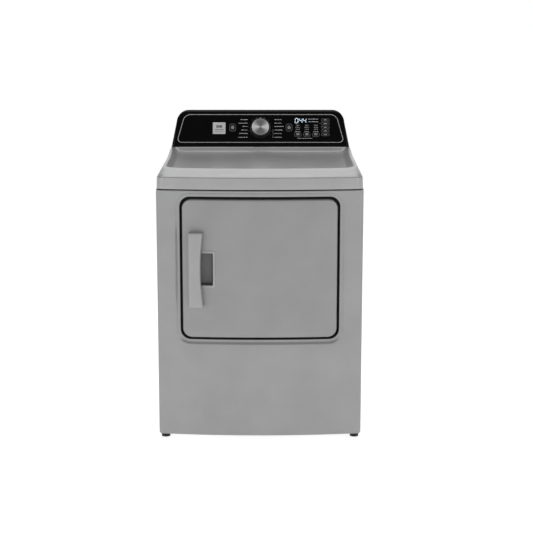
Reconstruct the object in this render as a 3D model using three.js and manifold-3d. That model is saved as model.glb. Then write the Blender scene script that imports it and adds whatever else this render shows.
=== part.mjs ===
// A full-size front-loading clothes dryer with a vented exhaust.
// Millimetres, +Z up, the front faces -Y. The origin is on the floor, under the middle of the overall box.
import * as THREE from "three";
import { mergeVertices } from "three/addons/utils/BufferGeometryUtils.js";
import Module from "manifold-3d";

const wasm = await Module();
wasm.setup();

// ---- Driving dimensions ----------------------------------------------------------------------------
const WIDTH = 686; // across the cabinet
const BODY_DEPTH = 690; // front corner line to the rear panel's outside
const HEIGHT = 1067; // floor to the console's top
const DECK_FRONT = 903; // height of the top cover's front edge
const FOOT_HEIGHT = 20; // floor to the cabinet's lower edge
const SKIRT = 42; // height of the top cover's front face
const BOW = 25; // how far the front bulges forward at mid-width
const SHEET = 1.5; // thickness of every painted sheet
const SEAM = 3; // gap between the top cover and the cabinet
const FIT = 0.4; // gap between pieces that rest on each other
const CORNER = 10; // radius of the cabinet's front corners

const DOOR_W = 514;
const DOOR_H = 466;
const DOOR_R = 30; // corner radius of the door
const DOOR_Z = 595.5; // height of the door's middle
const DOOR_PROUD = 3; // door face in front of the front panel
const DOOR_GAP = 6.5; // black gap round the door
const POCKET = 20; // front corner line to the floor of the door's recess
const DOOR_BACK_GAP = 5; // door's back to the recess floor, filled by the seal
const RECESS_STEP = 3; // shallow dished border round the door gap
const RECESS_BORDER = 12;

const OPENING_W = DOOR_W - 74; // loading opening
const OPENING_H = DOOR_H - 86;
const OPENING_R = 85;
const PLUG_W = OPENING_W - 36; // bulge of the door's liner
const PLUG_H = OPENING_H - 36;
const PLUG_R = 68;
const PLUG_DEPTH = 32;

const HINGE_IN = 8.5; // hinge axis to the door's right edge
const HINGE_BACK = 7; // hinge axis behind the door's face at that edge
const HINGE_SPREAD = 150; // each hinge above or below the door's middle
const HINGE_ARM = 4; // width of a hinge arm
const HINGE_HEIGHT = 12;
const HINGE_PIN_R = 1.2;
const HINGE_LEAF = 2;

const HANDLE_X = 46 - DOOR_W / 2; // middle of the handle
const HANDLE_W = 49;
const HANDLE_H = 251;
const HANDLE_RISE = 30; // handle's face in front of the door's face
const HANDLE_WAIST = 9; // how far the grip edge curves in at mid-height
const CUP_W = 72; // finger cup, outside of its frame
const CUP_H = 124;
const CUP_FRAME = 8;
const CUP_DEPTH = 22;
const CUP_RIGHT = 109 - DOOR_W / 2; // right edge of the cup's frame

const DRUM_R = 316;
const DRUM_Z = 560; // height of the drum's axis
const DRUM_LENGTH = BODY_DEPTH - 154;
const DRUM_WALL = 1.5;
const DRUM_SIDES = 56; // facets of the drum and of the rings that fit inside it
const BAFFLE_H = 62;
const BAFFLE_W = 56;
const BELT_FROM_FRONT = 295; // drum's front rim to the belt's middle
const BELT_W = 8;
const BELT_T = 2;
const BELT_FIT = 0.9; // belt to the rounds it wraps

const MOTOR_X = 120;
const MOTOR_Z = 130;
const MOTOR_R = 62;
const MOTOR_LENGTH = 150;
const SHAFT_R = 6;
const PULLEY_R = 10;
const BLOWER_R = 76;
const BLOWER_INLET = 50;
const BLOWER_DEPTH = 66;
const IDLER_R = 25;
const IDLER_X = 60;
const IDLER_Z = 150;
const IDLER_PIVOT_X = 85;
const IDLER_PIVOT_Z = 76;
const ROLLER_R = 36;
const ROLLER_W = 24;
const ROLLER_ANGLE = 35; // degrees from straight below the drum
const ROLLER_STUD_R = 6;
const RUNNING = 0.5; // radial clearance of a running fit between faceted rounds

const DUCT_R = 51; // exhaust pipe's outside
const DUCT_X = -40;
const DUCT_Z = 92;
const DUCT_PROUD = 25; // pipe's end behind the rear panel

const FILTER_W = OPENING_W - 190;
const FILTER_H = 180;
const FILTER_T = 14;

const FACE_TILT = 26; // console face leans back, degrees
const FACE_LENGTH = 137.5; // console face, along its slope
const CONSOLE_SETBACK = BODY_DEPTH - 145; // front corner line to the console face's foot
const CONSOLE_FOOT = 34; // console's foot above the deck's front edge
const CONSOLE_HALF = 325; // half-width of the housing at its foot
const CONSOLE_TAPER = 19; // how much narrower each side is at the top
const CONSOLE_R = 44;
const CONSOLE_WALL = 2.5;
const FASCIA_HALF = 317;
const FASCIA_TAPER = 11;
const FASCIA_R = 42;
const FASCIA_T = 3;
const KNOB_R = 36;
const KNOB_SKIRT_R = 38;
const KNOB_RISE = 18;
const KEY_TRAVEL_ROOM = 2;
const KEY_PROUD = 0.8;
const KEY_DEPTH = 7;
const KEY_FACETS = 1; // fineness of the keys' rounded corners

const FOOT_R = 15;
const FOOT_INSET = 20; // foot's axis in from the cabinet's side
const FOOT_SETBACK = 40; // front foot's axis behind the front corner line

// ---- Places worked out from them -------------------------------------------------------------------
const HALF = WIDTH / 2;
const BOW_R = (HALF * HALF + BOW * BOW) / (2 * BOW);
const bowAt = (x) => Math.sqrt(BOW_R * BOW_R - x * x) - (BOW_R - BOW); // bulge in front of the corner line
const HANDLE_REACH = bowAt(HANDLE_X) + DOOR_PROUD + HANDLE_RISE;
const DEPTH = HANDLE_REACH + BODY_DEPTH + DUCT_PROUD; // overall
const FRONT = HANDLE_REACH - DEPTH / 2; // front corner line
const REAR = FRONT + BODY_DEPTH; // rear panel's outside
const BOW_Y = FRONT - BOW + BOW_R; // centre of the bow's arc
const PANEL_TOP = DECK_FRONT - SKIRT - SEAM; // top edge of the cabinet's panels
const FLOOR_Y = FRONT + POCKET; // front of the recess floor
const DOOR_BACK = FLOOR_Y - DOOR_BACK_GAP;
const HINGE_X = DOOR_W / 2 - HINGE_IN;
const HINGE_Y = FRONT - bowAt(DOOR_W / 2) - DOOR_PROUD + HINGE_BACK;
const FILTER_Y0 = DOOR_BACK + PLUG_DEPTH + 7; // the filter stands just behind the door's plug
const DRUM_Y0 = FILTER_Y0 + FILTER_T + 12; // drum's front rim
const DRUM_Y1 = DRUM_Y0 + DRUM_LENGTH;
const BELT_Y = DRUM_Y0 + BELT_FROM_FRONT;
const SEAL_R = DRUM_R - DRUM_WALL - 2 * FIT; // outside of the felt rings
const SEAL_T = 7;
const FLANGE_T = 2;
const BULKHEAD_R = DRUM_R + 12;
const BULKHEAD_Y = DRUM_Y0 - FIT - FLANGE_T; // front of the front bulkhead's plate
const CONSOLE_Y = FRONT + CONSOLE_SETBACK;
const CONSOLE_Z = DECK_FRONT + CONSOLE_FOOT;
const tilt = THREE.MathUtils.degToRad(FACE_TILT);
const DECK_RIM = DECK_FRONT + 17;
const DECK_FLOOR = DECK_FRONT + 3;
const OPENING_BOTTOM = DOOR_Z - OPENING_H / 2;

// ---- Materials -------------------------------------------------------------------------------------
const paint = (color, roughness, metalness) =>
  new THREE.MeshStandardMaterial({ color, roughness, metalness });
const greyPaint = paint(0x97979a, 0.42, 0.35);
const greyPlastic = paint(0x8f8f92, 0.5, 0.1);
const darkPlastic = paint(0x2b2b2d, 0.55, 0);
const blackGloss = paint(0x0a0a0b, 0.12, 0);
const zinc = paint(0xa9abad, 0.4, 0.85);
const drumSteel = paint(0xc9cacb, 0.3, 0.9);
const brushedSteel = paint(0xcfd0d2, 0.25, 1);
const whitePlastic = paint(0xe4e4e2, 0.5, 0);
const rubber = paint(0x1d1d1e, 0.85, 0);
const felt = paint(0xb9b4a6, 0.95, 0);
const castMetal = paint(0x5e6063, 0.6, 0.6);
const boardGreen = paint(0x1f5a35, 0.6, 0);

// ---- Tools for solids ------------------------------------------------------------------------------
const FAR = 2000; // longer than the machine, for cutters that run right through
const BOW_STEPS = 12; // flat strips along the bowed front

function solid(geometry) {
  const bare = new THREE.BufferGeometry();
  bare.setAttribute("position", geometry.getAttribute("position"));
  bare.setIndex(geometry.index);
  const merged = mergeVertices(bare, 1e-3);
  const index = merged.index.array;
  const triVerts = [];
  for (let i = 0; i < index.length; i += 3) {
    const [a, b, c] = [index[i], index[i + 1], index[i + 2]];
    if (a !== b && b !== c && c !== a) triVerts.push(a, b, c);
  }
  return new wasm.Manifold(
    new wasm.Mesh({
      numProp: 3,
      vertProperties: merged.attributes.position.array,
      triVerts: new Uint32Array(triVerts),
    }),
  );
}

function toGeometry(body) {
  const mesh = body.getMesh();
  const geometry = new THREE.BufferGeometry();
  geometry.setAttribute("position", new THREE.BufferAttribute(new Float32Array(mesh.vertProperties), 3));
  geometry.setIndex(new THREE.BufferAttribute(new Uint32Array(mesh.triVerts), 1));
  geometry.computeVertexNormals();
  return geometry;
}

const union = (first, ...rest) => rest.reduce((sum, body) => sum.add(body), first);
const cut = (first, ...rest) => rest.reduce((left, body) => left.subtract(body), first);

function box(x0, x1, y0, y1, z0, z1) {
  const geometry = new THREE.BoxGeometry(x1 - x0, y1 - y0, z1 - z0);
  geometry.translate((x0 + x1) / 2, (y0 + y1) / 2, (z0 + z1) / 2);
  return solid(geometry);
}

// A shape drawn in plan (x, y), raised from z0 to z1.
function upFrom(shape, z0, z1, curveSegments = 3) {
  const geometry = new THREE.ExtrudeGeometry(shape, { depth: z1 - z0, bevelEnabled: false, curveSegments });
  geometry.translate(0, 0, z0);
  return solid(geometry);
}

// A shape drawn in front view (x, z), run from y0 back to y1.
function backFrom(shape, y0, y1, curveSegments = 3) {
  const geometry = new THREE.ExtrudeGeometry(shape, { depth: y1 - y0, bevelEnabled: false, curveSegments });
  geometry.rotateX(Math.PI / 2);
  geometry.translate(0, y1, 0);
  return solid(geometry);
}

// A shape drawn in side view (y, z), run from x0 to x1.
function acrossFrom(shape, x0, x1, curveSegments = 3) {
  const geometry = new THREE.ExtrudeGeometry(shape, { depth: x1 - x0, bevelEnabled: false, curveSegments });
  geometry.applyMatrix4(new THREE.Matrix4().set(0, 0, 1, x0, 1, 0, 0, 0, 0, 1, 0, 0, 0, 0, 0, 1));
  return solid(geometry);
}

// A cylinder along Y with its axis at (x, z).
function rodY(x, z, radius, y0, y1, sides = 32) {
  const geometry = new THREE.CylinderGeometry(radius, radius, y1 - y0, sides);
  geometry.translate(x, (y0 + y1) / 2, z);
  return solid(geometry);
}

// A cylinder along Z with its axis at (x, y).
function rodZ(x, y, radius, z0, z1, sides = 16) {
  const geometry = new THREE.CylinderGeometry(radius, radius, z1 - z0, sides);
  geometry.rotateX(Math.PI / 2);
  geometry.translate(x, y, (z0 + z1) / 2);
  return solid(geometry);
}

// A profile of [radius, y] points, turned about an axis along Y at (x, z).
function turned(profile, x, z, sides) {
  const points = profile.map(([radius, y]) => new THREE.Vector2(radius, y));
  const geometry = new THREE.LatheGeometry([...points, points[0]], sides);
  geometry.translate(x, 0, z);
  return solid(geometry);
}

const ring = (x, z, inner, outer, y0, y1, sides) =>
  turned([[inner, y0], [outer, y0], [outer, y1], [inner, y1]], x, z, sides);

function roundedRect(x, z, width, height, radius) {
  const [a, b] = [width / 2 - radius, height / 2 - radius];
  const shape = new THREE.Shape();
  shape.absarc(x + a, z - b, radius, -Math.PI / 2, 0, false);
  shape.absarc(x + a, z + b, radius, 0, Math.PI / 2, false);
  shape.absarc(x - a, z + b, radius, Math.PI / 2, Math.PI, false);
  shape.absarc(x - a, z - b, radius, Math.PI, Math.PI * 1.5, false);
  return shape;
}

function polygon(points) {
  return new THREE.Shape(points.map(([a, b]) => new THREE.Vector2(a, b)));
}

function arc(x, y, radius, from, to, steps) {
  const turn = (i) => from + ((to - from) * i) / steps;
  const point = (i) => [x + radius * Math.cos(turn(i)), y + radius * Math.sin(turn(i))];
  return Array.from({ length: steps + 1 }, (_, i) => point(i));
}

// Everything behind the bowed front, in plan: `inset` moves the front back, `half` is the half-width.
function bowedPlan(half, inset, back, corner) {
  const radius = BOW_R - inset;
  const cornerY = BOW_Y - Math.sqrt((radius - corner) ** 2 - (half - corner) ** 2);
  const turn = Math.atan2(cornerY - BOW_Y, half - corner);
  const steps = corner < 2 ? 1 : 5;
  return polygon([
    [-half, back],
    ...arc(-half + corner, cornerY, corner, -Math.PI, -Math.PI - turn, steps),
    ...arc(0, BOW_Y, radius, -Math.PI - turn, turn, BOW_STEPS),
    ...arc(half - corner, cornerY, corner, turn, 0, steps),
    [half, back],
  ]);
}

const bowedSlab = (half, inset, back, z0, z1, corner = 1) =>
  upFrom(bowedPlan(half, inset, back, corner), z0, z1);

// ---- Scene graph -----------------------------------------------------------------------------------
const dryer = new THREE.Group();

function add(name, body, material, parent = dryer) {
  const mesh = new THREE.Mesh(toGeometry(body), material);
  mesh.name = name;
  parent.add(mesh);
}

// ---- Cabinet ---------------------------------------------------------------------------------------
const FRONT_RETURN = 14; // front panel's side flanges, behind the corner line
const BASE_LIP = 18;
const doorPocket = (grow) =>
  roundedRect(0, DOOR_Z, DOOR_W + 2 * (DOOR_GAP + grow), DOOR_H + 2 * (DOOR_GAP + grow), DOOR_R + 2 + grow);
const opening = (grow) =>
  roundedRect(0, DOOR_Z, OPENING_W + 2 * grow, OPENING_H + 2 * grow, OPENING_R + grow);
const hingeHeights = [DOOR_Z - HINGE_SPREAD, DOOR_Z + HINGE_SPREAD];
const STRIKE_X = 19 - DOOR_W / 2;
const SWITCH_X = 19 - DOOR_W / 2;
const SWITCH_GAP = 2; // closed door's back to the switch button's tip
const SWITCH_Z = DOOR_Z + 110;

function frontPanel() {
  const back = FRONT + FRONT_RETURN;
  const outer = bowedSlab(HALF, 0, back, FOOT_HEIGHT, PANEL_TOP, CORNER);
  const bottom = FOOT_HEIGHT + SHEET;
  const inner = bowedSlab(HALF - SHEET, SHEET, back + 1, bottom, PANEL_TOP - SHEET, CORNER - SHEET);
  const tall = PANEL_TOP + 40;
  const silhouette = roundedRect(0, (FOOT_HEIGHT + tall) / 2, WIDTH, tall - FOOT_HEIGHT, 8);
  const skin = cut(outer, inner).intersect(backFrom(silhouette, FRONT - FAR, FRONT + FAR));
  const border = cut(
    backFrom(doorPocket(RECESS_BORDER), FRONT - FAR, back),
    bowedSlab(HALF, RECESS_STEP, back + 1, 0, HEIGHT),
  );
  const borderSheet = cut(
    backFrom(doorPocket(RECESS_BORDER + SHEET), FRONT - FAR, back).intersect(
      bowedSlab(HALF - CORNER, 0.5, back, 0, HEIGHT),
    ),
    bowedSlab(HALF, RECESS_STEP + SHEET, back + 1, 0, HEIGHT),
  );
  const tub = backFrom(doorPocket(SHEET), FRONT - FAR, FLOOR_Y + SHEET).intersect(
    bowedSlab(HALF - CORNER, 0.5, FLOOR_Y + SHEET, 0, HEIGHT),
  );
  return cut(
    union(skin, borderSheet, tub),
    border,
    backFrom(doorPocket(0), FRONT - FAR, FLOOR_Y),
    backFrom(opening(0), FLOOR_Y - 1, FLOOR_Y + SHEET + 1),
    box(STRIKE_X - 6, STRIKE_X + 6, FLOOR_Y - 1, FLOOR_Y + SHEET + 1, DOOR_Z - 11, DOOR_Z + 11),
    rodY(SWITCH_X, SWITCH_Z, 6, FLOOR_Y - 1, FLOOR_Y + SHEET + 1, 16),
  );
}

const SIDE_Y0 = FRONT + FRONT_RETURN + 0.8;
function sidePanel(side) {
  const plan = polygon([
    [side * HALF, SIDE_Y0],
    [side * HALF, REAR],
    [side * (HALF - 14), REAR],
    [side * (HALF - 14), REAR - SHEET],
    [side * (HALF - SHEET), REAR - SHEET],
    [side * (HALF - SHEET), SIDE_Y0 + SHEET],
    [side * (HALF - 12), SIDE_Y0 + SHEET],
    [side * (HALF - 12), SIDE_Y0],
  ]);
  return upFrom(plan, FOOT_HEIGHT, PANEL_TOP);
}

function basePan() {
  const [x, y0, y1] = [HALF - SHEET - FIT, SIDE_Y0 + SHEET + FIT, REAR - 2 * SHEET - 2 * FIT];
  const tray = cut(
    box(-x, x, y0, y1, FOOT_HEIGHT, FOOT_HEIGHT + BASE_LIP),
    box(-x + SHEET, x - SHEET, y0 + SHEET, y1 - SHEET, FOOT_HEIGHT + SHEET, FOOT_HEIGHT + BASE_LIP + 1),
  );
  const holes = footPlaces.map(([fx, fy]) => rodZ(fx, fy, 5 + RUNNING, 0, FOOT_HEIGHT + 10, 16));
  return cut(tray, ...holes);
}

const REAR_IN = REAR - 2 * SHEET - FIT; // front side of the rear panel
function rearPanel() {
  const x = HALF - 14 - FIT;
  const flat = box(-x, x, REAR - SHEET, REAR, FOOT_HEIGHT, PANEL_TOP);
  const rib = (z) => box(-x + 70, x - 70, REAR - SHEET - 4, REAR - SHEET, z - 14, z + 14);
  const groove = (z) => box(-x + 72, x - 72, REAR - SHEET - 2.5, REAR + 1, z - 12, z + 12);
  const levels = [330, 455, 580, 705];
  const grille = [];
  for (const side of [-1, 1])
    for (let i = 0; i < 4; i += 1)
      grille.push(box(side * 240 - 40, side * 240 + 40, REAR - 9, REAR + 1, 150 + 20 * i, 156 + 20 * i));
  return cut(
    union(flat, ...levels.map(rib)),
    ...levels.map(groove),
    ...grille,
    rodY(DUCT_X, DUCT_Z, DUCT_R + 2, REAR - 9, REAR + 1, 24),
    box(TERMINAL_X - 30, TERMINAL_X + 30, REAR - 9, REAR + 1, TERMINAL_Z - 24, TERMINAL_Z + 24),
  );
}

const TERMINAL_X = -235;
const TERMINAL_Z = 790;
function terminalCover() {
  const shell = cut(
    box(TERMINAL_X - 48, TERMINAL_X + 48, REAR + FIT, REAR + 22, TERMINAL_Z - 42, TERMINAL_Z + 42),
    box(TERMINAL_X - 38, TERMINAL_X + 38, REAR - 1, REAR + 20, TERMINAL_Z - 34, TERMINAL_Z + 34),
  );
  return cut(shell, rodZ(TERMINAL_X, REAR + 11, 8, TERMINAL_Z - 60, TERMINAL_Z, 16));
}

// The top cover: a bowed slab with a sloped front, a dished deck and a raised ledge under the console.
function topCover() {
  const skirtFoot = DECK_FRONT - SKIRT;
  const hall = bowedSlab(HALF, 0, REAR, skirtFoot, DECK_RIM, 14);
  const ledge = acrossFrom(
    polygon([
      [CONSOLE_Y - 260, DECK_FLOOR - 2],
      [CONSOLE_Y - 260, DECK_FLOOR],
      [CONSOLE_Y - 14, DECK_FLOOR + 15],
      [CONSOLE_Y - 8, CONSOLE_Z],
      [REAR, CONSOLE_Z],
      [REAR, DECK_FLOOR - 2],
    ]),
    -CONSOLE_HALF - 2,
    CONSOLE_HALF + 2,
  );
  const slope = acrossFrom(
    polygon([
      [FRONT - BOW - 20, DECK_FRONT - 4],
      [FRONT - BOW + 75, DECK_RIM],
      [FRONT - BOW + 75, DECK_RIM + 50],
      [FRONT - BOW - 20, DECK_RIM + 50],
    ]),
    -FAR,
    FAR,
  );
  const eave = (side) =>
    backFrom(
      polygon([
        [side * (HALF + 1), DECK_FRONT - 2],
        [side * (HALF + 1), DECK_RIM + 60],
        [side * (HALF - 22), DECK_RIM + 60],
        [side * (HALF - 22), DECK_RIM],
      ]),
      FRONT - FAR,
      FRONT + FAR,
    );
  const dish = upFrom(bowedPlan(300, BOW + 55, CONSOLE_Y - 30, 30), DECK_FLOOR, DECK_RIM + 40);
  const under = bowedSlab(HALF - 2, 2, REAR - 2, skirtFoot - 1, DECK_FLOOR - 2.5, 12);
  const half = CONSOLE_HALF - 8;
  const underLedge = box(-half, half, CONSOLE_Y + 4, REAR - 4, DECK_FLOOR - 20, CONSOLE_Z - 3);
  return cut(union(cut(hall, slope, eave(-1), eave(1), dish), ledge), under, underLedge);
}

// ---- Door ------------------------------------------------------------------------------------------
const doorShape = (shrink) =>
  roundedRect(0, DOOR_Z, DOOR_W - 2 * shrink, DOOR_H - 2 * shrink, DOOR_R - shrink);
const CUP_X = CUP_RIGHT - CUP_W / 2;

// Room for a hinge arm in the door, open towards the door's right edge.
const hingeRoom = (z) =>
  box(
    HINGE_X - HINGE_ARM / 2 - 1.5,
    HALF,
    HINGE_Y - HINGE_BACK + SHEET + 0.2,
    FLOOR_Y,
    z - HINGE_HEIGHT / 2 - 1,
    z + HINGE_HEIGHT / 2 + 1,
  );

function doorOuterPanel() {
  const face = bowedSlab(HALF, -DOOR_PROUD, REAR, 0, HEIGHT);
  const outer = backFrom(doorShape(0), FRONT - FAR, DOOR_BACK).intersect(face);
  const inner = backFrom(doorShape(SHEET), FRONT - FAR, DOOR_BACK + 1).intersect(
    bowedSlab(HALF, SHEET - DOOR_PROUD, REAR, 0, HEIGHT),
  );
  const cupHole = backFrom(roundedRect(CUP_X, DOOR_Z, CUP_W - 6, CUP_H - 6, 5), FRONT - FAR, FRONT - 2);
  return cut(outer, inner, cupHole, ...hingeHeights.map(hingeRoom));
}

function doorInnerPanel() {
  const plate = backFrom(doorShape(SHEET + FIT), DOOR_BACK - 2, DOOR_BACK);
  const shape = roundedRect(0, DOOR_Z, PLUG_W, PLUG_H, PLUG_R);
  const plug = backFrom(shape, DOOR_BACK - 1, DOOR_BACK + PLUG_DEPTH);
  const hollow = backFrom(
    roundedRect(0, DOOR_Z, PLUG_W - 5, PLUG_H - 5, PLUG_R - 2.5),
    DOOR_BACK - 3,
    DOOR_BACK + PLUG_DEPTH - 2.5,
  );
  const strikeHole = box(STRIKE_X - 4, STRIKE_X + 4, DOOR_BACK - 3, DOOR_BACK + 1, DOOR_Z - 9, DOOR_Z + 9);
  return cut(union(plate, plug), hollow, strikeHole, ...hingeHeights.map(hingeRoom));
}

function doorSeal() {
  const margin = 8; // seal lies just outside the opening's edge
  const shape = (grow) => backFrom(opening(grow), DOOR_BACK + FIT, FLOOR_Y - FIT);
  return cut(shape(margin), shape(-2));
}

// The grip stands on the door at its ends and along its left edge, and bridges the finger cup.
function doorHandle() {
  const face = FRONT - bowAt(HANDLE_X) - DOOR_PROUD - HANDLE_RISE;
  const [x0, x1, half] = [HANDLE_X - HANDLE_W / 2, HANDLE_X + HANDLE_W / 2, HANDLE_H / 2];
  const outline = new THREE.Shape();
  outline.moveTo(x0, DOOR_Z - half);
  outline.lineTo(x1, DOOR_Z - half);
  outline.quadraticCurveTo(x1 - 2 * HANDLE_WAIST, DOOR_Z, x1, DOOR_Z + half);
  outline.lineTo(x0, DOOR_Z + half);
  const onDoor = bowedSlab(HALF, -DOOR_PROUD - FIT, REAR, 0, HEIGHT);
  const grip = backFrom(outline, face, FRONT, 10);
  const reach = box(x0 + 13, x1 + 20, face + 9, FRONT, DOOR_Z - CUP_H / 2 - 3, DOOR_Z + CUP_H / 2 + 3);
  return cut(grip, onDoor, reach);
}

function handleCup() {
  const face = bowedSlab(HALF, -DOOR_PROUD - FIT, REAR, 0, HEIGHT);
  const proud = bowedSlab(HALF, -DOOR_PROUD - 2.4, REAR, 0, HEIGHT);
  const mouth = FRONT - bowAt(CUP_RIGHT - CUP_W) - DOOR_PROUD;
  const rim = backFrom(roundedRect(CUP_X, DOOR_Z, CUP_W, CUP_H, 7), FRONT - FAR, FRONT);
  const frame = cut(rim, face).intersect(proud);
  const well = (grow, y1) =>
    backFrom(
      roundedRect(CUP_X, DOOR_Z, CUP_W - 2 * CUP_FRAME + 2 * grow, CUP_H - 2 * CUP_FRAME + 2 * grow, 4),
      FRONT - FAR,
      y1,
    );
  const walls = well(2, mouth + CUP_DEPTH + 2).intersect(proud);
  return cut(union(frame, walls), well(0, mouth + CUP_DEPTH));
}

function doorStrike() {
  const y1 = DOOR_BACK - 2 - FIT;
  const plate = box(STRIKE_X - 14, STRIKE_X + 14, DOOR_BACK - 6, y1, DOOR_Z - 16, DOOR_Z + 16);
  const blade = box(STRIKE_X - 2, STRIKE_X + 2, DOOR_BACK - 3, FLOOR_Y + 18, DOOR_Z - 7, DOOR_Z + 7);
  const head = rodZ(STRIKE_X, FLOOR_Y + 16, 3.5, DOOR_Z - 7, DOOR_Z + 7, 12);
  return union(plate, blade, head);
}

function doorCatch() {
  const [y0, y1] = [FLOOR_Y + SHEET + FIT, FLOOR_Y + 26];
  return cut(
    box(STRIKE_X - 14, STRIKE_X + 14, y0, y1, DOOR_Z - 18, DOOR_Z + 18),
    box(STRIKE_X - 7, STRIKE_X + 7, y0 - 1, y1 - 3, DOOR_Z - 9, DOOR_Z + 9),
  );
}

function doorSwitchButton() {
  const stem = rodY(SWITCH_X, SWITCH_Z, 4.5, DOOR_BACK + SWITCH_GAP, FLOOR_Y + 10, 16);
  const collar = rodY(SWITCH_X, SWITCH_Z, 7, FLOOR_Y + SHEET + FIT, FLOOR_Y + SHEET + 4, 16);
  return union(stem, collar);
}

// Two arms fixed to the recess floor, each with an eye on the hinge axis.
function hingeFrame() {
  const y1 = FLOOR_Y - FIT;
  const reach = HINGE_SPREAD + 40;
  const [x0, x1] = [HINGE_X - HINGE_ARM / 2, HINGE_X + HINGE_ARM / 2];
  const strip = box(HINGE_X - 12, HINGE_X + 10, y1 - 2, y1, DOOR_Z - reach, DOOR_Z + reach);
  const arms = hingeHeights.map((z) =>
    cut(
      union(
        box(x0, x1, HINGE_Y, y1 - 1, z - HINGE_HEIGHT / 2, z + HINGE_HEIGHT / 2),
        rodZ(HINGE_X, HINGE_Y, HINGE_ARM / 2, z - HINGE_HEIGHT / 2, z + HINGE_HEIGHT / 2, 14),
      ),
      rodZ(HINGE_X, HINGE_Y, HINGE_PIN_R + 0.3, z - HINGE_HEIGHT, z + HINGE_HEIGHT, 14),
    ),
  );
  const bores = hingeHeights.map((z) =>
    rodZ(HINGE_X, HINGE_Y, HINGE_PIN_R + 0.3, z - HINGE_HEIGHT, z + HINGE_HEIGHT, 14),
  );
  return cut(union(strip, ...arms), ...bores);
}

// The door's side of both hinges: a stiffening strip with two leaves and a pin at each height.
function doorHingePlate() {
  const [x0, x1] = [HINGE_X - 30, HINGE_X - HINGE_ARM / 2 - 2];
  const y1 = DOOR_BACK - 2 - FIT;
  const strip = box(x0, x1, y1 - 2, y1, DOOR_Z - HINGE_SPREAD - 30, DOOR_Z + HINGE_SPREAD + 30);
  const leaves = hingeHeights.flatMap((z) => {
    const room = HINGE_HEIGHT / 2 + FIT;
    const leaf = (z0) => box(x0, HINGE_X + 3, HINGE_Y - 3, y1 - 1, z0, z0 + HINGE_LEAF);
    return [
      leaf(z + room),
      leaf(z - room - HINGE_LEAF),
      rodZ(HINGE_X, HINGE_Y, HINGE_PIN_R, z - room - HINGE_LEAF, z + room + HINGE_LEAF, 14),
    ];
  });
  return union(strip, ...leaves);
}

// ---- Drum and what carries it ----------------------------------------------------------------------
function drum() {
  const [r, w, y0, y1] = [DRUM_R, DRUM_WALL, DRUM_Y0, DRUM_Y1];
  return turned([[r - w, y0], [r, y0], [r, y1], [r - w, y1]], 0, DRUM_Z, DRUM_SIDES);
}

function baffle(angle) {
  const foot = DRUM_R - DRUM_WALL - FIT;
  const profile = new THREE.Shape();
  profile.moveTo(-BAFFLE_W / 2, -foot + 1.6);
  profile.lineTo(BAFFLE_W / 2, -foot + 1.6);
  profile.lineTo(BAFFLE_W / 6, -foot + BAFFLE_H - 8);
  profile.quadraticCurveTo(0, -foot + BAFFLE_H + 8, -BAFFLE_W / 6, -foot + BAFFLE_H - 8);
  const long = DRUM_LENGTH - 96;
  const geometry = new THREE.ExtrudeGeometry(profile, { depth: long, bevelEnabled: false, curveSegments: 6 });
  geometry.rotateX(Math.PI / 2);
  geometry.translate(0, DRUM_Y1 - 44, 0);
  geometry.rotateY(angle);
  geometry.translate(0, 0, DRUM_Z);
  return solid(geometry);
}

function frontBulkhead() {
  const throatY = FLOOR_Y + SHEET + FIT;
  const flangeR = SEAL_R - SEAL_T - FIT;
  const plate = rodY(0, DRUM_Z, BULKHEAD_R, BULKHEAD_Y, BULKHEAD_Y + FLANGE_T, 40);
  const flange = ring(0, DRUM_Z, flangeR - FLANGE_T, flangeR, BULKHEAD_Y + 1, DRUM_Y0 + 20, DRUM_SIDES);
  const throat = backFrom(opening(FLANGE_T), throatY, BULKHEAD_Y + FLANGE_T);
  const slot = box(
    -FILTER_W / 2 - 1.5,
    FILTER_W / 2 + 1.5,
    FILTER_Y0 - 1.5,
    FILTER_Y0 + FILTER_T + 1.5,
    OPENING_BOTTOM - 10,
    OPENING_BOTTOM + 10,
  );
  return cut(union(plate, flange, throat), backFrom(opening(0), throatY - 1, DRUM_Y0 + 30), slot);
}

const sealRing = (y0, y1) => ring(0, DRUM_Z, SEAL_R - SEAL_T, SEAL_R, y0, y1, DRUM_SIDES);

const rollerTurn = THREE.MathUtils.degToRad(ROLLER_ANGLE);
const ROLLER_REACH = DRUM_R + ROLLER_R + FIT;
const rollerX = ROLLER_REACH * Math.sin(rollerTurn);
const rollerZ = DRUM_Z - ROLLER_REACH * Math.cos(rollerTurn);
const ROLLER_Y0 = DRUM_Y1 - 46;

function rearBulkhead() {
  const y0 = DRUM_Y1 + FIT;
  const flangeR = SEAL_R - SEAL_T - FIT;
  const plate = backFrom(roundedRect(0, DRUM_Z, 2 * BULKHEAD_R, 2 * BULKHEAD_R, 70), y0, y0 + FLANGE_T, 3);
  const flange = ring(0, DRUM_Z, flangeR - FLANGE_T, flangeR, DRUM_Y1 - 20, y0 + 1, DRUM_SIDES);
  const stud = (side) => rodY(side * rollerX, rollerZ, ROLLER_STUD_R, ROLLER_Y0 - 2, y0 + 1, 24);
  const vents = [];
  for (const z of [640, 668, 696, 724, 752])
    for (const x of [-105, 5]) vents.push(box(x, x + 100, y0 - 1, y0 + FLANGE_T + 1, z, z + 12));
  return cut(union(plate, flange, stud(-1), stud(1)), ...vents);
}

function drumRoller(side) {
  const [y0, y1] = [ROLLER_Y0, ROLLER_Y0 + ROLLER_W];
  const bore = ROLLER_STUD_R + RUNNING;
  return turned(
    [
      [bore, y0],
      [bore + 6, y0],
      [bore + 6, y0 + 5],
      [ROLLER_R - 6, y0 + 5],
      [ROLLER_R - 6, y0],
      [ROLLER_R, y0],
      [ROLLER_R, y1],
      [bore, y1],
    ],
    side * rollerX,
    rollerZ,
    24,
  );
}

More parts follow.
